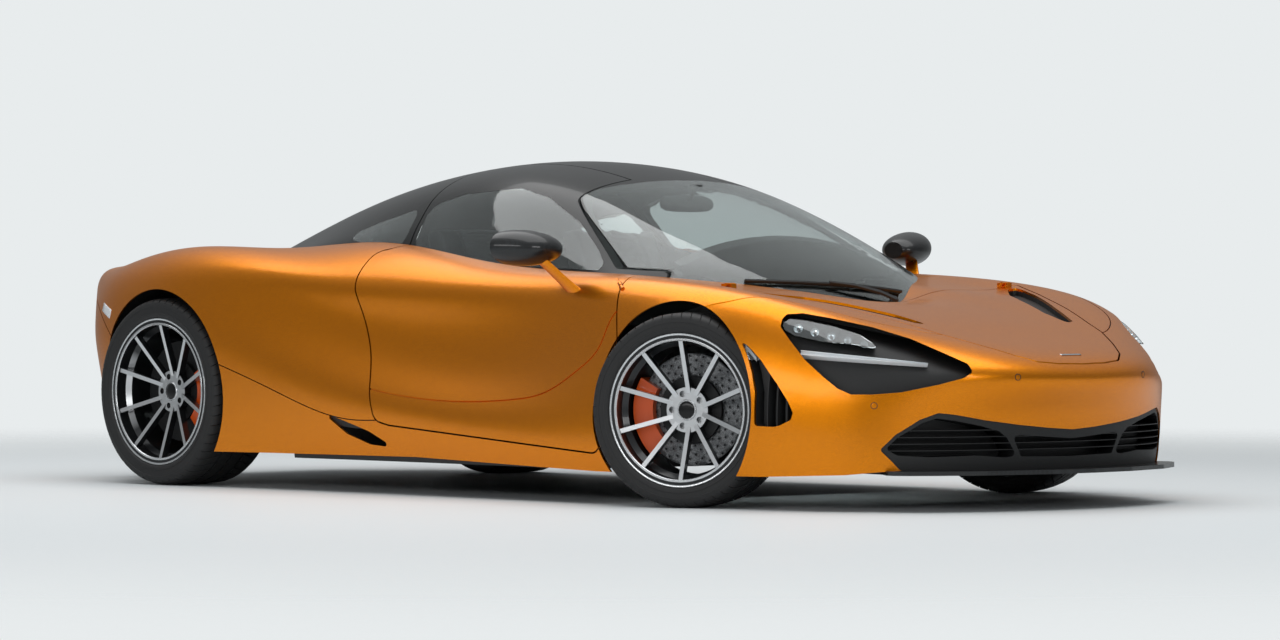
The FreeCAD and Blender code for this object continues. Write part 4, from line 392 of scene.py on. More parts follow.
def piece(name, shape, maker, body, crease_deg=35.0, thick_mm=0.0):
    """A new piece of these points and faces, in its finish, riding on a body."""
    mesh = bpy.data.meshes.new(name)
    mesh.from_pydata([tuple(p) for p in shape[0]], [], shape[1])
    mesh.materials.append(made(maker))
    tidy = bmesh.new()
    tidy.from_mesh(mesh)
    bmesh.ops.recalc_face_normals(tidy, faces=tidy.faces)
    tidy.to_mesh(mesh)
    tidy.free()
    mesh.shade_smooth()
    mesh.set_sharp_from_angle(angle=math.radians(crease_deg))
    thing = bpy.data.objects.new(name, mesh)
    bpy.context.scene.collection.objects.link(thing)
    if thick_mm:
        wall = thing.modifiers.new("wall", "SOLIDIFY")
        wall.thickness = thick_mm * MM
        wall.offset = 0
    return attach(thing, body)


def joined(shapes):
    """Several shapes' points and faces as one."""
    points, faces = [], []
    for more, sides in shapes:
        faces += [tuple(len(points) + v for v in side) for side in sides]
        points += more
    return points, faces


def turned(profile, centre, axis, count):
    """The points and faces of a closed profile of (radius, way out) in mm, carried round an axis."""
    ahead = axis.cross(UP).normalized()
    upward = ahead.cross(axis).normalized()
    rows = []
    for k in range(count):
        angle = 2 * math.pi * k / count
        spoke = ahead * math.cos(angle) - upward * math.sin(angle)
        rows.append([centre + (spoke * radius + axis * out) * MM for radius, out in profile])
    return net(rows, around=True, along=True)


def lathed(name, profile, centre, axis, maker, body, count=48):
    """A turned piece riding on a body."""
    return piece(name, turned(profile, centre, axis, count), maker, body)


def heading(path, k):
    """The way a path runs at one of its points."""
    return path[min(k + 1, len(path) - 1)] - path[max(k - 1, 0)]


def spoke_at(axis, angle):
    """A direction square to a level axis, at an angle up from ahead of it."""
    return axis.cross(UP).normalized() * math.cos(angle) + UP * math.sin(angle)


def round_profile(radius_mm, count=10):
    """Points of a small circle."""
    turns = [2 * math.pi * k / count for k in range(count)]
    return [(radius_mm * math.cos(t), radius_mm * math.sin(t)) for t in turns]


def skin_of(*nodes):
    """The surface of some solids, to seat pieces on."""
    points, faces = [], []
    for node in nodes:
        mesh = frame["nodes"][node].data
        faces += [tuple(len(points) + v for v in face.vertices) for face in mesh.polygons]
        points += [v.co for v in mesh.vertices]
    return BVHTree.FromPolygons(points, faces)


def seated(skin, start, direction):
    """Where a line from a start first meets a surface, and the surface's outward normal there."""
    place, normal, _, _ = skin.ray_cast(start, direction.normalized())
    if place is None:
        raise RuntimeError(f"nothing to seat a piece on from {tuple(start)}")
    return place, normal if normal.dot(direction) < 0 else -normal


def mm(x, y, z):
    return Vector((x, y, z)) * MM


def between(start, end, count):
    """Evenly spaced points from start to end."""
    return [start.lerp(end, k / (count - 1)) for k in range(count)]


def laid_strip(name, nodes, path, direction, width_mm, lift_mm, maker, body, thick_mm=1.5):
    """A thin strip laid along a path on a solid's surface."""
    skin = skin_of(*nodes)
    spots = [seated(skin, p, direction) for p in path]
    places = [place for place, _ in spots]
    rows = []
    for k, (place, normal) in enumerate(spots):
        across = normal.cross(heading(places, k)).normalized()
        middle = place + normal * lift_mm * MM
        rows.append([middle + across * share * width_mm * MM for share in (-0.5, -0.25, 0, 0.25, 0.5)])
    return piece(name, net(rows), maker, body, thick_mm=thick_mm)


# Wheels

TREAD_BLOCKS = 56
SIPE_SHARES = ((0.0, 0), (0.9, 0), (0.93, 1), (0.97, 1))
SIPE_MM = 5.0
GROOVE_MM = 6.0
TREAD_SKEW_DEG = 9.0
WHEEL_SIZES = {
    "f": {"tyre": 327.0, "half": 122.5, "flange": 258.0, "seat": 241.0, "rim_half": 114.5, "disc": 190.0},
    "r": {"tyre": 345.5, "half": 147.5, "flange": 271.0, "seat": 254.0, "rim_half": 139.5, "disc": 185.0},
}
HUB_DISH = 64.0
DISC_FACE = 3.0
DISC_HAT = 113.0
DISC_SKIN = 1.2
DISC_EDGE = 0.5
WHEEL_BOLTS = 5
BOLT_CIRCLE = 56.0
BOLT_TURN_DEG = 36.0
BOBBINS = 10
BOBBIN = ((0.1, 4), (3, 4), (4.5, 2.5), (5, -1), (5, -3), (0.1, -3))
BOBBIN_CIRCLE = 107.0
DRILL_RINGS = 5
DRILL_CELLS = 44
DRILL_RADIUS = 3.6
DRILL_SIDES = 8
VALVE = ((0.1, 14), (2, 14), (3, 12.5), (3, 4), (4.5, 3), (4.5, -10), (0.1, -10))
VALVE_TURN_DEG = 18.0
VALVE_IN = 12.0
VALVE_BACK = 30.0
BEAD_STEP = 8.0


def wheel_of(corner):
    """A wheel's centre, outward axis, body and sizes."""
    joint = JOINTS[WHEEL_JOINTS[corner]]
    side = SIDES["left"] if corner[1] == "l" else SIDES["right"]
    return Vector(joint["pos_m"]), Vector(joint["axis"]) * side, joint["child"], WHEEL_SIZES[corner[0]]


def tyre_profile(size):
    """Half of a tyre's outline from the tread's middle out: radius, way out, share of the sipes' depth."""
    radius, half, flange, rim_half = size["tyre"], size["half"], size["flange"], size["rim_half"]
    groove = half * 0.36
    tread = [(radius - GROOVE_MM, 0, 0), (radius - GROOVE_MM, 3.5, 0), (radius, 4.5, 0),
             (radius, groove - 5, 0), (radius - GROOVE_MM, groove - 4, 0),
             (radius - GROOVE_MM, groove + 4, 0), (radius, groove + 5, 1), (radius - 1, half * 0.66, 1),
             (radius - 2, half * 0.78, 1), (radius - 6, half * 0.89, 1), (radius - 12, half * 0.955, 0.7),
             (radius - 21, half * 0.99, 0.2)]
    wall = [(radius - 32, half), (radius - 33, half - 1.2), (flange + 19, half - 1.5), (flange + 18, half),
            (flange + 10, half - 1), (flange + 5, half - 3.5), (flange + 1.5, rim_half),
            (flange + 0.5, rim_half - 6), (flange + 0.5, rim_half - 8.5),
            (size["seat"] + 0.5, rim_half - 8.5), (size["seat"] + 0.5, rim_half - 28),
            (flange + 14, half - 22), (radius - 16, half - 34)]
    return tread + [(r, out, 0) for r, out in wall]


def tyre_rows(centre, axis, size):
    """Rows of a tyre with grooves round it and sipes that lean back from its middle."""
    outer = tyre_profile(size)
    whole = outer + [(r, -out, sipe) for r, out, sipe in reversed(outer[1:])]
    rows = []
    for block in range(TREAD_BLOCKS):
        for share, deep in SIPE_SHARES:
            row = []
            for radius, out, sipe in whole:
                lean = math.radians(TREAD_SKEW_DEG) * min(abs(out) / size["half"], 1)
                angle = 2 * math.pi * (block + share) / TREAD_BLOCKS + lean
                reach = radius - SIPE_MM * deep * sipe
                row.append(centre + (spoke_at(axis, angle) * reach + axis * out) * MM)
            rows.append(row)
    return rows


class CAR_OT_tyres(bpy.types.Operator):
    """Puts grooved tyres with stepped sidewalls on the rims"""
    bl_idname = "car.tyres"
    bl_label = "Mould the tyres"

    def execute(self, context):
        for corner in WHEEL_JOINTS:
            centre, axis, body, size = wheel_of(corner)
            tyre = piece("tyre_moulded_" + corner,
                         net(tyre_rows(centre, axis, size), around=True, along=True), tyre_rubber, body, 30.0)
            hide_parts("tyre_" + corner)
        return {"FINISHED"}


class CAR_OT_wheel_trim(bpy.types.Operator):
    """Adds each wheel's turned lip, centre cap, bolts and valve"""
    bl_idname = "car.wheel_trim"
    bl_label = "Trim the wheels"

    def execute(self, context):
        for corner in WHEEL_JOINTS:
            centre, axis, body, size = wheel_of(corner)
            edge, inner, out = size["flange"], size["seat"] - BEAD_STEP, size["rim_half"]
            hub = out - HUB_DISH
            for name, maker, count, profile in (
                    ("lip_outer_", polished_alloy, 96,
                     [(edge - 7, out - 3), (edge - 7, out + 0.6), (edge - 5.5, out + 1.6),
                      (edge - 1, out + 1.6), (edge + 0.4, out), (edge + 0.4, out - 3)]),
                    ("lip_groove_", graphite_paint, 96,
                     [(inner + 8, out - 3), (inner + 8, out + 0.3),
                      (edge - 7, out + 0.3), (edge - 7, out - 3)]),
                    ("lip_inner_", polished_alloy, 96,
                     [(inner - 1, out - 4), (inner - 1, out - 1), (inner + 1, out + 1.2),
                      (inner + 7, out + 1.2), (inner + 8, out + 0.3), (inner + 8, out - 4)]),
                    ("cap_ring_", polished_alloy, 48,
                     [(35, hub - 2), (35, hub + 3), (33, hub + 5),
                      (30, hub + 5), (29, hub + 3), (29, hub - 2)]),
                    ("cap_", black_gloss_lacquer, 48,
                     [(0.1, hub + 5), (10, hub + 4.7), (20, hub + 4), (27, hub + 2.6), (29, hub + 1.5),
                      (29, hub - 2), (0.1, hub - 2)])):
                lathed(name + corner, profile, centre, axis, maker, body, count)
            self.bolts(corner, centre, axis, body, hub)
            turn, reach = math.radians(VALVE_TURN_DEG), inner - VALVE_IN
            valve = centre + (axis.cross(UP) * math.cos(turn) * reach + UP * math.sin(turn) * reach
                              + axis * (out - VALVE_BACK)) * MM
            lathed("valve_" + corner, VALVE, valve, axis, graphite_paint, body, 16)
        return {"FINISHED"}

    def bolts(self, corner, centre, axis, body, hub):
        head = [(0.1, hub - 3), (6, hub - 3), (9, hub - 5), (9.6, hub - 7), (9.6, hub - 13),
                (10.6, hub - 14.5), (10.6, hub - 17), (0.1, hub - 17)]
        bolts = []
        for k in range(WHEEL_BOLTS):
            angle = math.radians(BOLT_TURN_DEG) + 2 * math.pi * k / WHEEL_BOLTS
            bolts.append(turned(head, centre + spoke_at(axis, angle) * BOLT_CIRCLE * MM, axis, 6))
        piece("wheel_bolts_" + corner, joined(bolts), graphite_paint, body, 30.0)


class CAR_OT_brakes(bpy.types.Operator):
    """Faces the brake discs with drilled rings and bolts them to their hats"""
    bl_idname = "car.brakes"
    bl_label = "Drill the brakes"

    def execute(self, context):
        for corner in WHEEL_JOINTS:
            centre, axis, body, size = wheel_of(corner)
            shape = self.drilled(centre, axis, DISC_HAT, size["disc"] - DISC_EDGE)
            piece("disc_face_" + corner, shape, carbon_ceramic, body, thick_mm=2.0)
            bobbins = []
            for k in range(BOBBINS):
                spoke = spoke_at(axis, 2 * math.pi * (k + 0.5) / BOBBINS)
                seat = centre + (spoke * BOBBIN_CIRCLE + axis * DISC_FACE) * MM
                bobbins.append(turned(BOBBIN, seat, axis, 6))
            piece("disc_bolts_" + corner, joined(bobbins), cast_aluminium, body, 30.0)
        return {"FINISHED"}

    def drilled(self, centre, axis, inner, outer):
        """A flat ring of cells, every other one with a round hole."""
        points, faces, known = [], [], {}

        def vertex(radius, turn):
            key = (round(radius, 3), round(turn % 1, 6))
            if key not in known:
                known[key] = len(points)
                spoke = spoke_at(axis, 2 * math.pi * turn)
                points.append(centre + (spoke * radius + axis * (DISC_FACE + DISC_SKIN)) * MM)
            return known[key]

        wide = (outer - inner) / DRILL_RINGS
        for i in range(DRILL_RINGS):
            for j in range(DRILL_CELLS):
                low, high, mid = inner + wide * i, inner + wide * (i + 1), inner + wide * (i + 0.5)
                t0, t1, tm = j / DRILL_CELLS, (j + 1) / DRILL_CELLS, (j + 0.5) / DRILL_CELLS
                rim = [(mid, t1), (high, t1), (high, tm), (high, t0), (mid, t0), (low, t0), (low, tm),
                       (low, t1)]
                border = [vertex(*corner) for corner in rim]
                if (i + j) % 2:
                    faces.append(tuple(border))
                    continue
                bore = []
                for k in range(DRILL_SIDES):
                    angle = 2 * math.pi * k / DRILL_SIDES
                    bore.append(vertex(mid + DRILL_RADIUS * math.sin(angle),
                                       tm + DRILL_RADIUS * math.cos(angle) / (2 * math.pi * mid)))
                for k in range(DRILL_SIDES):
                    n = (k + 1) % DRILL_SIDES
                    faces.append((border[k], border[n], bore[n], bore[k]))
        return points, faces


# Lamps

EYE_VIEW_DEG = 44.0
EYE_VIEW = Vector((math.cos(math.radians(EYE_VIEW_DEG)), math.sin(math.radians(EYE_VIEW_DEG)), 0))
POD_LINE = (mm(1668, 800, 607), mm(1868, 692, 556))
BAR_LINE = (mm(1712, 824, 512), mm(2045, 575, 477))
BAR_POINTS = 25
BAR_SMOOTHINGS = 6
BAR_HALF_MM = 9.0
BAR_TAPER = 0.75
ELEMENTS = 5
ELEMENT_SET_MM = 9.5
ELEMENT_RADIUS_MM = 15.0
ELEMENT_SHRINK_MM = 0.9
LAMP_EYE = ((0.1, -2.5), (3.5, -3.2), (5.6, -5), (6, -7), (6, -9), (0.1, -9))
LOOK_FROM = 0.3


def sided(vector, side):
    """A left-hand vector, or its twin on the right."""
    return Vector((vector.x, vector.y * side, vector.z))


class CAR_OT_lamps(bpy.types.Operator):
    """Fits lamp elements, light bars and marker reflectors"""
    bl_idname = "car.lamps"
    bl_label = "Fit the lamps"

    def execute(self, context):
        for name, side in SIDES.items():
            view = sided(EYE_VIEW, side)
            self.elements(name, side, view)
            self.light_bar(name, side, view)
            self.reflectors(name, side)
        return {"FINISHED"}

    def elements(self, name, side, view):
        lens = skin_of("lamp_lenses")
        for k, spot in enumerate(between(*[sided(p, side) for p in POD_LINE], ELEMENTS)):
            place, normal = seated(lens, spot + view * LOOK_FROM, -view)
            axis = (normal + view).normalized()
            centre = place - normal * ELEMENT_SET_MM * MM
            wide = ELEMENT_RADIUS_MM - k * ELEMENT_SHRINK_MM
            bowl = [(wide, 1.5), (wide, -5), (wide - 2, -9), (6, -9.5), (6, -7.5), (wide - 3.5, -6.5),
                    (wide - 2, -2), (wide - 1.2, 1.5)]
            lathed(f"lamp_bowl_{name}_{k + 1}", bowl, centre, axis, mirror_silver, "chassis", 32)
            lathed(f"lamp_eye_{name}_{k + 1}", LAMP_EYE, centre, axis, dark_screen_glass, "chassis", 24)

    def light_bar(self, name, side, view):
        cup = skin_of("headlamps")
        line = between(*[sided(p, side) for p in BAR_LINE], BAR_POINTS)
        spots = [seated(cup, p + view * LOOK_FROM, -view) for p in line]
        normal = sum((n for _, n in spots), Vector()).normalized()
        path = [p for p, _ in spots]
        for _ in range(BAR_SMOOTHINGS):
            path = [path[0]] + [(a + b + c) / 3 for a, b, c in zip(path, path[1:], path[2:])] + [path[-1]]
        rows = []
        for k, p in enumerate(path):
            ahead = heading(path, k).normalized()
            out = (normal - ahead * normal.dot(ahead)).normalized()
            across = ahead.cross(out)
            share = 1.0 - BAR_TAPER * (k / (len(path) - 1)) ** 1.5
            half = BAR_HALF_MM * share
            section = [(-half, -2), (-half, 24), (-half + 0.8, 25), (-half + 2.4 * share, 25),
                       (-half + 3.2 * share, 24), (-half + 3.4 * share, 18), (half - 3.4 * share, 18),
                       (half - 3.2 * share, 24), (half - 2.4 * share, 25), (half - 0.8, 25), (half, 24),
                       (half, -2)]
            rows.append([p + (across * x + out * y) * MM for x, y in section])
        piece("light_bar_" + name, net(rows, around=True, ends=True), white_light_guide, "chassis", 40.0)

    def reflectors(self, name, side):
        lens = skin_of("lamp_lenses")
        path = [sided(mm(x, 1000, z), side) for x, z in ((1512, 544), (1530, 531), (1546, 516), (1560, 503))]
        spots = [seated(lens, p, sided(-LEFT, side)) for p in path]
        rows = [[p - n * 0.004 + UP * dz * MM for dz in (-9, 0, 5)] for p, n in spots]
        piece("front_marker_reflector_" + name, net(rows), white_light_guide, "chassis", thick_mm=1.0)
        strip = [sided(mm(x, 1200, z), side) for x, z in ((-1800, 628), (-1820, 635), (-1840, 642),
                                                          (-1860, 649), (-1880, 656))]
        laid_strip("rear_marker_" + name, ("quarter_panels", "rear_bumper"), strip, sided(-LEFT, side), 34.0,
                   1.0, white_light_guide, "chassis")


# Small trim

class CAR_OT_trim(bpy.types.Operator):
    """Adds the bare badge plate, parking sensors, wiper and mirror glasses"""
    bl_idname = "car.trim"
    bl_label = "Fit the trim"

    def execute(self, context):
        plate = between(mm(2158, 50, 900), mm(2158, -50, 900), 15)
        laid_strip("badge_plate", ("bonnet",), plate, -UP, 9.0, 1.2, bright_trim, "bonnet", 2.0)
        for name, side in SIDES.items():
            self.sensors(name, side)
            self.mirror_glass(name, side)
        self.wiper()
        self.cabin_mirror()
        return {"FINISHED"}

    def sensors(self, name, side):
        bumper = skin_of("front_bumper")
        for k, (spot, aim) in enumerate(((mm(1937, 718, 351), mm(-750, -660, 0)),
                                         (mm(2206, 314, 443), mm(-950, -310, 0)))):
            aim = sided(aim, side).normalized()
            place, normal = seated(bumper, sided(spot, side) - aim * LOOK_FROM, aim)
            lathed(f"sensor_ring_{name}_{k + 1}", [(9.2, -2), (9.2, 0.4), (11.5, 0.4), (11.5, -2)], place,
                   normal, moulded_black_plastic, "chassis", 32)
            lathed(f"sensor_{name}_{k + 1}", [(0.1, 0.9), (6, 0.8), (8.6, 0.4), (9, -2), (0.1, -2)], place,
                   normal, orange_metallic_lacquer, "chassis", 32)

    def mirror_glass(self, name, side):
        node = frame["nodes"]["mirror_" + name].data
        back = min(v.co.x for v in node.vertices)
        rim = [v.co.copy() for v in node.vertices if v.co.x < back + 1.0 * MM]
        middle = sum(rim, Vector()) / len(rim)
        rim.sort(key=lambda p: math.atan2(p.z - middle.z, p.y - middle.y))
        rows = []
        for share, lift in ((0.93, 0.5), (0.9, 1.2), (0.5, 1.6)):
            rows.append([middle + (p - middle) * share - FORWARD * lift * MM for p in rim])
        points, faces = net(rows, around=True)
        faces.append(tuple(2 * len(rim) + k for k in range(len(rim))))
        piece("mirror_glass_" + name, (points, faces), mirror_silver, "door_" + name, thick_mm=1.0)

    def wiper(self):
        glass = skin_of("windscreen")
        line = [mm(x, y, 1400) for x, y in ((1040, -420), (1085, -330), (1122, -230), (1148, -120), (1163, 0),
                                            (1168, 120), (1160, 230))]
        spots = [seated(glass, p, -UP) for p in line]
        places = [place for place, _ in spots]
        for name, profile, maker in (
                ("wiper_rubber", [(-1.5, 0.5), (1.5, 0.5), (3, 9), (-3, 9)], tyre_rubber),
                ("wiper_spine", [(-6, 9), (6, 9), (4, 15), (-2, 17)], moulded_black_plastic)):
            rows = []
            for k, (p, n) in enumerate(spots):
                across = heading(places, k).normalized().cross(n)
                rows.append([p + (across * x + n * y) * MM for x, y in profile])
            piece(name, net(rows, around=True, ends=True), maker, "chassis", 50.0)
        middle, normal = spots[3]
        pivot, _ = seated(glass, mm(1205, 150, 1400), -UP)
        arm = [middle + normal * 0.018, middle.lerp(pivot, 0.35) + normal * 0.03,
               middle.lerp(pivot, 0.75) + normal * 0.028, pivot + normal * 0.016]
        rows = []
        for k, p in enumerate(arm):
            across = heading(arm, k).normalized().cross(normal).normalized()
            wide = 5.0 + 3.0 * k
            rows.append([p + (across * x + normal * y) * MM
                         for x, y in ((-wide, -3), (wide, -3), (wide * 0.7, 4), (-wide * 0.7, 4))])
        piece("wiper_arm", net(rows, around=True, ends=True), moulded_black_plastic, "chassis", 50.0)
        lathed("wiper_pivot", [(0.1, 22), (10, 21), (14, 16), (15, 2), (0.1, 2)], pivot, normal,
               moulded_black_plastic, "chassis", 24)

    def cabin_mirror(self):
        middle = mm(330, 0, 1030)
        rows = []
        for out, tall in ((-128, 6), (-122, 20), (-105, 27), (-60, 30), (0, 31), (60, 30), (105, 27),
                          (122, 20), (128, 6)):
            rows.append([middle + mm(x * min(tall, 24) / 24 - z * 0.25, out, z) for x, z in (
                (-10, -tall * 0.8), (-12, 0), (-10, tall * 0.8), (0, tall), (14, tall * 0.7), (20, 0),
                (14, -tall * 0.7), (0, -tall))])
        piece("cabin_mirror", net(rows, around=True, ends=True), moulded_black_plastic, "chassis", 60.0)
        glass = skin_of("windscreen")
        start = middle + mm(20, 0, 10)
        top, _ = seated(glass, start, Vector((0.55, 0, 1)))
        path = between(start, top, 4)
        rows = [[p + mm(x, y, 0) for x, y in round_profile(wide)] for p, wide in zip(path, (9, 8, 12, 26))]
        piece("cabin_mirror_stalk", net(rows, around=True, ends=True), moulded_black_plastic, "chassis", 60.0)


# Cabin

CHANNEL_MM = 58.0
CENTRE_HALF_MM = 108.0
SEAM_DEPTH = 5.0
SEAM_SOFT = 7.0
SEAT_VOXEL = 12.0
SEAT_SMOOTHINGS = 14
FACING = 0.4


class CAR_OT_seats(bpy.types.Operator):
    """Pads the seats, with sewn channels in their middles"""
    bl_idname = "car.seats"
    bl_label = "Pad the seats"

    def execute(self, context):
        for name, side in SIDES.items():
            mesh = self.padding(context, name, side)
            self.sew(mesh, side)
            pad = bpy.data.objects.new("seat_padded_" + name, mesh)
            context.scene.collection.objects.link(pad)
            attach(pad, "chassis")
            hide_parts("seats")
        return {"FINISHED"}

    def padding(self, context, name, side):
        """One seat's solid, remeshed and softened."""
        half = bmesh.new()
        half.from_mesh(frame["nodes"]["seats"].data)
        bmesh.ops.delete(half, geom=[v for v in half.verts if v.co.y * side < 0], context="VERTS")
        mesh = bpy.data.meshes.new("seat_rough_" + name)
        half.to_mesh(mesh)
        half.free()
        rough = bpy.data.objects.new("seat_rough_" + name, mesh)
        context.scene.collection.objects.link(rough)
        blocks = rough.modifiers.new("blocks", "REMESH")
        blocks.mode = "VOXEL"
        blocks.voxel_size = SEAT_VOXEL * MM
        soften = rough.modifiers.new("soften", "SMOOTH")
        soften.factor, soften.iterations = 0.5, SEAT_SMOOTHINGS
        finer = rough.modifiers.new("finer", "SUBSURF")
        finer.levels = finer.render_levels = 1
        context.view_layer.update()
        soft = bpy.data.meshes.new_from_object(rough.evaluated_get(context.evaluated_depsgraph_get()))
        bpy.data.objects.remove(rough)
        soft.name = "seat_padded_" + name
        return soft

    def sew(self, mesh, side):
        """Presses the seams in and covers the middle in suede, the rest in leather."""
        middle = sum(v.co.y for v in mesh.vertices) / len(mesh.vertices)
        normals = [v.normal.copy() for v in mesh.vertices]
        for v, normal in zip(mesh.vertices, normals):
            across = abs(v.co.y - middle) / MM
            if normal.z < FACING and normal.x < FACING:
                continue
            along = (v.co.x if normal.z > normal.x else v.co.z) / MM
            seams = [abs(across - CENTRE_HALF_MM)]
            if across < CENTRE_HALF_MM:
                seams.append(abs((along % CHANNEL_MM) - CHANNEL_MM / 2))
            depth = sum(math.exp(-(far / SEAM_SOFT) ** 2) for far in seams)
            v.co -= normal * min(depth, 1.0) * SEAM_DEPTH * MM
        mesh.materials.clear()
        mesh.materials.append(made(dark_leather))
        mesh.materials.append(made(grey_suede))
        for face in mesh.polygons:
            inside = abs(face.center.y - middle) / MM < CENTRE_HALF_MM - SEAM_SOFT
            face.material_index = 1 if inside and max(face.normal.x, face.normal.z) > FACING else 0
        mesh.shade_smooth()


class CAR_OT_cabin(bpy.types.Operator):
    """Adds the wheel's centre pad, the instrument display and the middle display"""
    bl_idname = "car.cabin"
    bl_label = "Fit the cabin"

    def execute(self, context):
        joint = JOINTS["steering_wheel_turn"]
        hub, axis = Vector(joint["pos_m"]), Vector(joint["axis"])
        lathed("wheel_centre_pad", [(0.1, 30), (20, 29), (42, 25), (55, 17), (58, 8), (56, 2), (0.1, 2)], hub,
               axis, dark_leather, joint["child"], 40)
        self.display("instrument_display", mm(512, 335, 752), 240, 84, 24, 25)
        self.display("middle_display", mm(506, 0, 650), 130, 190, 16, 12)
        return {"FINISHED"}

    def display(self, name, middle, wide, tall, deep, lean_deg):
        """A slab with rounded corners that leans back from the seats."""
        lean = math.radians(lean_deg)
        up = Vector((math.sin(lean), 0, math.cos(lean)))
        out = Vector((-math.cos(lean), 0, math.sin(lean)))
        rows = []
        for inset, depth in ((0, 0), (0, deep - 4), (1.5, deep - 1), (4, deep)):
            ring = []
            for k in range(32):
                angle = 2 * math.pi * (k + 0.5) / 32
                c, s = math.cos(angle), math.sin(angle)
                x = math.copysign(abs(c) ** 0.3, c) * (wide / 2 - inset)
                y = math.copysign(abs(s) ** 0.3, s) * (tall / 2 - inset)
                ring.append(middle + (LEFT * x + up * y + out * depth) * MM)
            rows.append(ring)
        piece(name, net(rows, around=True, ends=True), dark_screen_glass, "chassis", 40.0)


# Settings

class CarPaintSettings(bpy.types.PropertyGroup):
    deep: bpy.props.StringProperty(name="Deep", description="Paint colour in its darker flakes",
                                   default="B85A00")
    bright: bpy.props.StringProperty(name="Bright", description="Paint colour in its brighter flakes",
                                     default="FF9E08")
    flake_mm: bpy.props.FloatProperty(name="Flake",
                                      description="Size of a flake, drawn coarse, in millimetres",
                                      default=0.6, min=0.05)


class CarStageSettings(bpy.types.PropertyGroup):
    floor_size: bpy.props.FloatProperty(name="Floor size", description="Side of the studio floor",
                                        default=60.0, unit="LENGTH")
    fade_start: bpy.props.FloatProperty(name="Fade start",
                                        description="Distance at which the floor starts to fade", default=3.2,
                                        unit="LENGTH")
    fade_end: bpy.props.FloatProperty(name="Fade end",
                                      description="Distance at which only the backdrop is left", default=8.5,
                                      unit="LENGTH")
    lens_mm: bpy.props.FloatProperty(name="Lens", description="Focal length on a 36 mm frame", default=156.26,
                                     subtype="DISTANCE_CAMERA")
    floor: bpy.props.StringProperty(name="Floor colour", description="Paint of the studio floor",
                                    default="DDE2E4")
    backdrop: bpy.props.StringProperty(name="Backdrop", description="Colour seen behind the car",
                                       default="E8ECED")


# Stage

class CAR_OT_finishes(bpy.types.Operator):
    """Gives the car's solids their finishes"""
    bl_idname = "car.finishes"
    bl_label = "Finish the solids"

    def execute(self, context):
        for maker, names in NODE_FINISHES.items():
            for name in names:
                materials = frame["nodes"][name].data.materials
                materials.clear()
                materials.append(made(maker))
        return {"FINISHED"}


CAMERA_PLACE = (14.4738, -13.9378, 0.8135)
CAMERA_YAW_DEG = 135.894
CAMERA_PITCH_DEG = -0.571
CAMERA_REACH = 300.0
WORLD_STRENGTH = 0.6
GLOSSY_SHARE = 0.3


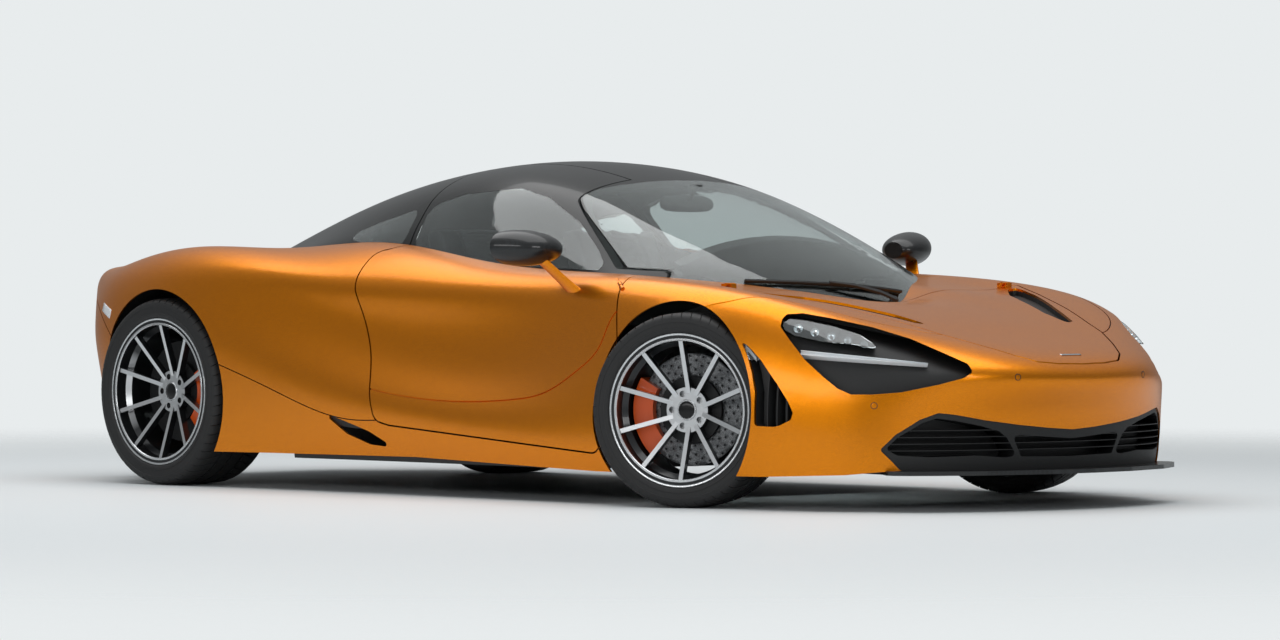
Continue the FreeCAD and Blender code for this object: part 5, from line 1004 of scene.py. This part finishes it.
class CAR_OT_stage(bpy.types.Operator):
    """Lays the studio floor, hangs its lights and sets up the camera"""
    bl_idname = "car.stage"
    bl_label = "Set the stage"

    def execute(self, context):
        settings = context.scene.car_stage
        half = settings.floor_size / 2
        mesh = bpy.data.meshes.new("studio_floor")
        mesh.from_pydata([(-half, -half, 0), (half, -half, 0), (half, half, 0), (-half, half, 0)], [],
                         [(0, 1, 2, 3)])
        floor = bpy.data.objects.new("studio_floor", mesh)
        context.scene.collection.objects.link(floor)
        mesh.materials.append(made(studio_floor))
        self.hang_lights(context)
        self.light_world(context, settings)
        self.set_camera(context, settings)
        context.scene.view_settings.view_transform = "Standard"
        return {"FINISHED"}

    def hang_lights(self, context):
        boxes = (("overhead", (0.0, -0.5, 6.0), (0, -0.1, 0.4), 11.0, 6.0, 400.0),
                 ("near_side", (2.0, -9.0, 2.4), (0, 0, 0.6), 9.0, 1.2, 150.0),
                 ("front", (9.0, -3.0, 2.0), (1.5, 0, 0.5), 3.0, 1.2, 60.0))
        for name, place, aim, wide, deep, power in boxes:
            lamp = bpy.data.lights.new(name, "AREA")
            lamp.shape = "RECTANGLE"
            lamp.size, lamp.size_y = wide, deep
            lamp.energy = power
            lit = bpy.data.objects.new(name, lamp)
            lit.location = place
            lit.rotation_euler = (Vector(aim) - Vector(place)).to_track_quat("-Z", "Y").to_euler()
            context.scene.collection.objects.link(lit)

    def light_world(self, context, settings):
        world = bpy.data.worlds.new("studio")
        context.scene.world = world
        world.use_nodes = True
        tree = world.node_tree
        tree.nodes.clear()
        place = add(tree, "ShaderNodeTexCoord")
        height = add(tree, "ShaderNodeSeparateXYZ", links={"Vector": place.outputs["Generated"]})
        ramp = add(tree, "ShaderNodeValToRGB", links={"Fac": height.outputs["Z"]})
        stops = ramp.color_ramp.elements
        stops[0].color, stops[0].position = linear("3C3E40"), 0.0
        stops[1].color, stops[1].position = linear("F4F6F7"), 0.85
        stops.new(0.3).color = linear("6E7174")
        rays = add(tree, "ShaderNodeLightPath")
        seen = add(tree, "ShaderNodeMath", links={0: rays.outputs["Is Camera Ray"],
                                                  1: rays.outputs["Is Transmission Ray"]},
                   operation="MAXIMUM")
        shining = add(tree, "ShaderNodeMath", {1: GLOSSY_SHARE}, {0: rays.outputs["Is Glossy Ray"]},
                      operation="MULTIPLY")
        shown = add(tree, "ShaderNodeMath", links={0: seen.outputs[0], 1: shining.outputs[0]},
                    operation="MAXIMUM")
        lit = add(tree, "ShaderNodeBackground", {"Strength": WORLD_STRENGTH},
                  {"Color": ramp.outputs["Color"]})
        plain = add(tree, "ShaderNodeBackground", {"Color": linear(settings.backdrop), "Strength": 1.0})
        both = add(tree, "ShaderNodeMixShader", links={0: shown.outputs[0], 1: lit.outputs[0],
                                                       2: plain.outputs[0]})
        add(tree, "ShaderNodeOutputWorld", links={"Surface": both.outputs[0]})

    def set_camera(self, context, settings):
        camera = bpy.data.cameras.new("camera")
        camera.lens = settings.lens_mm
        camera.clip_end = CAMERA_REACH
        seat = bpy.data.objects.new("camera", camera)
        seat.location = CAMERA_PLACE
        yaw, pitch = math.radians(CAMERA_YAW_DEG), math.radians(CAMERA_PITCH_DEG)
        ahead = Vector((math.cos(yaw) * math.cos(pitch), math.sin(yaw) * math.cos(pitch), math.sin(pitch)))
        seat.rotation_euler = ahead.to_track_quat("-Z", "Y").to_euler()
        context.scene.collection.objects.link(seat)
        context.scene.camera = seat


class CAR_PT_panel(bpy.types.Panel):
    """Lists the steps that dress the car"""
    bl_label = "Sports Car"
    bl_idname = "CAR_PT_panel"
    bl_space_type = "VIEW_3D"
    bl_region_type = "UI"
    bl_category = "Sports Car"

    def draw(self, context):
        for step in STEPS:
            self.layout.operator(step.bl_idname)


GROUPS = {"car_paint": CarPaintSettings, "car_stage": CarStageSettings}
STEPS = (CAR_OT_finishes, CAR_OT_tyres, CAR_OT_wheel_trim, CAR_OT_brakes, CAR_OT_lamps, CAR_OT_trim,
         CAR_OT_seats, CAR_OT_cabin, CAR_OT_stage)
CLASSES = tuple(GROUPS.values()) + STEPS + (CAR_PT_panel,)


def register():
    for kind in CLASSES:
        bpy.utils.register_class(kind)
    for name, group in GROUPS.items():
        setattr(bpy.types.Scene, name, bpy.props.PointerProperty(type=group))


def unregister():
    for name in GROUPS:
        delattr(bpy.types.Scene, name)
    for kind in reversed(CLASSES):
        bpy.utils.unregister_class(kind)


def main():
    register()
    bpy.ops.car.finishes()
    bpy.ops.car.tyres()
    bpy.ops.car.wheel_trim()
    bpy.ops.car.brakes()
    bpy.ops.car.lamps()
    bpy.ops.car.trim()
    bpy.ops.car.seats()
    bpy.ops.car.cabin()
    bpy.ops.car.stage()


if __name__ == "__main__":
    main()
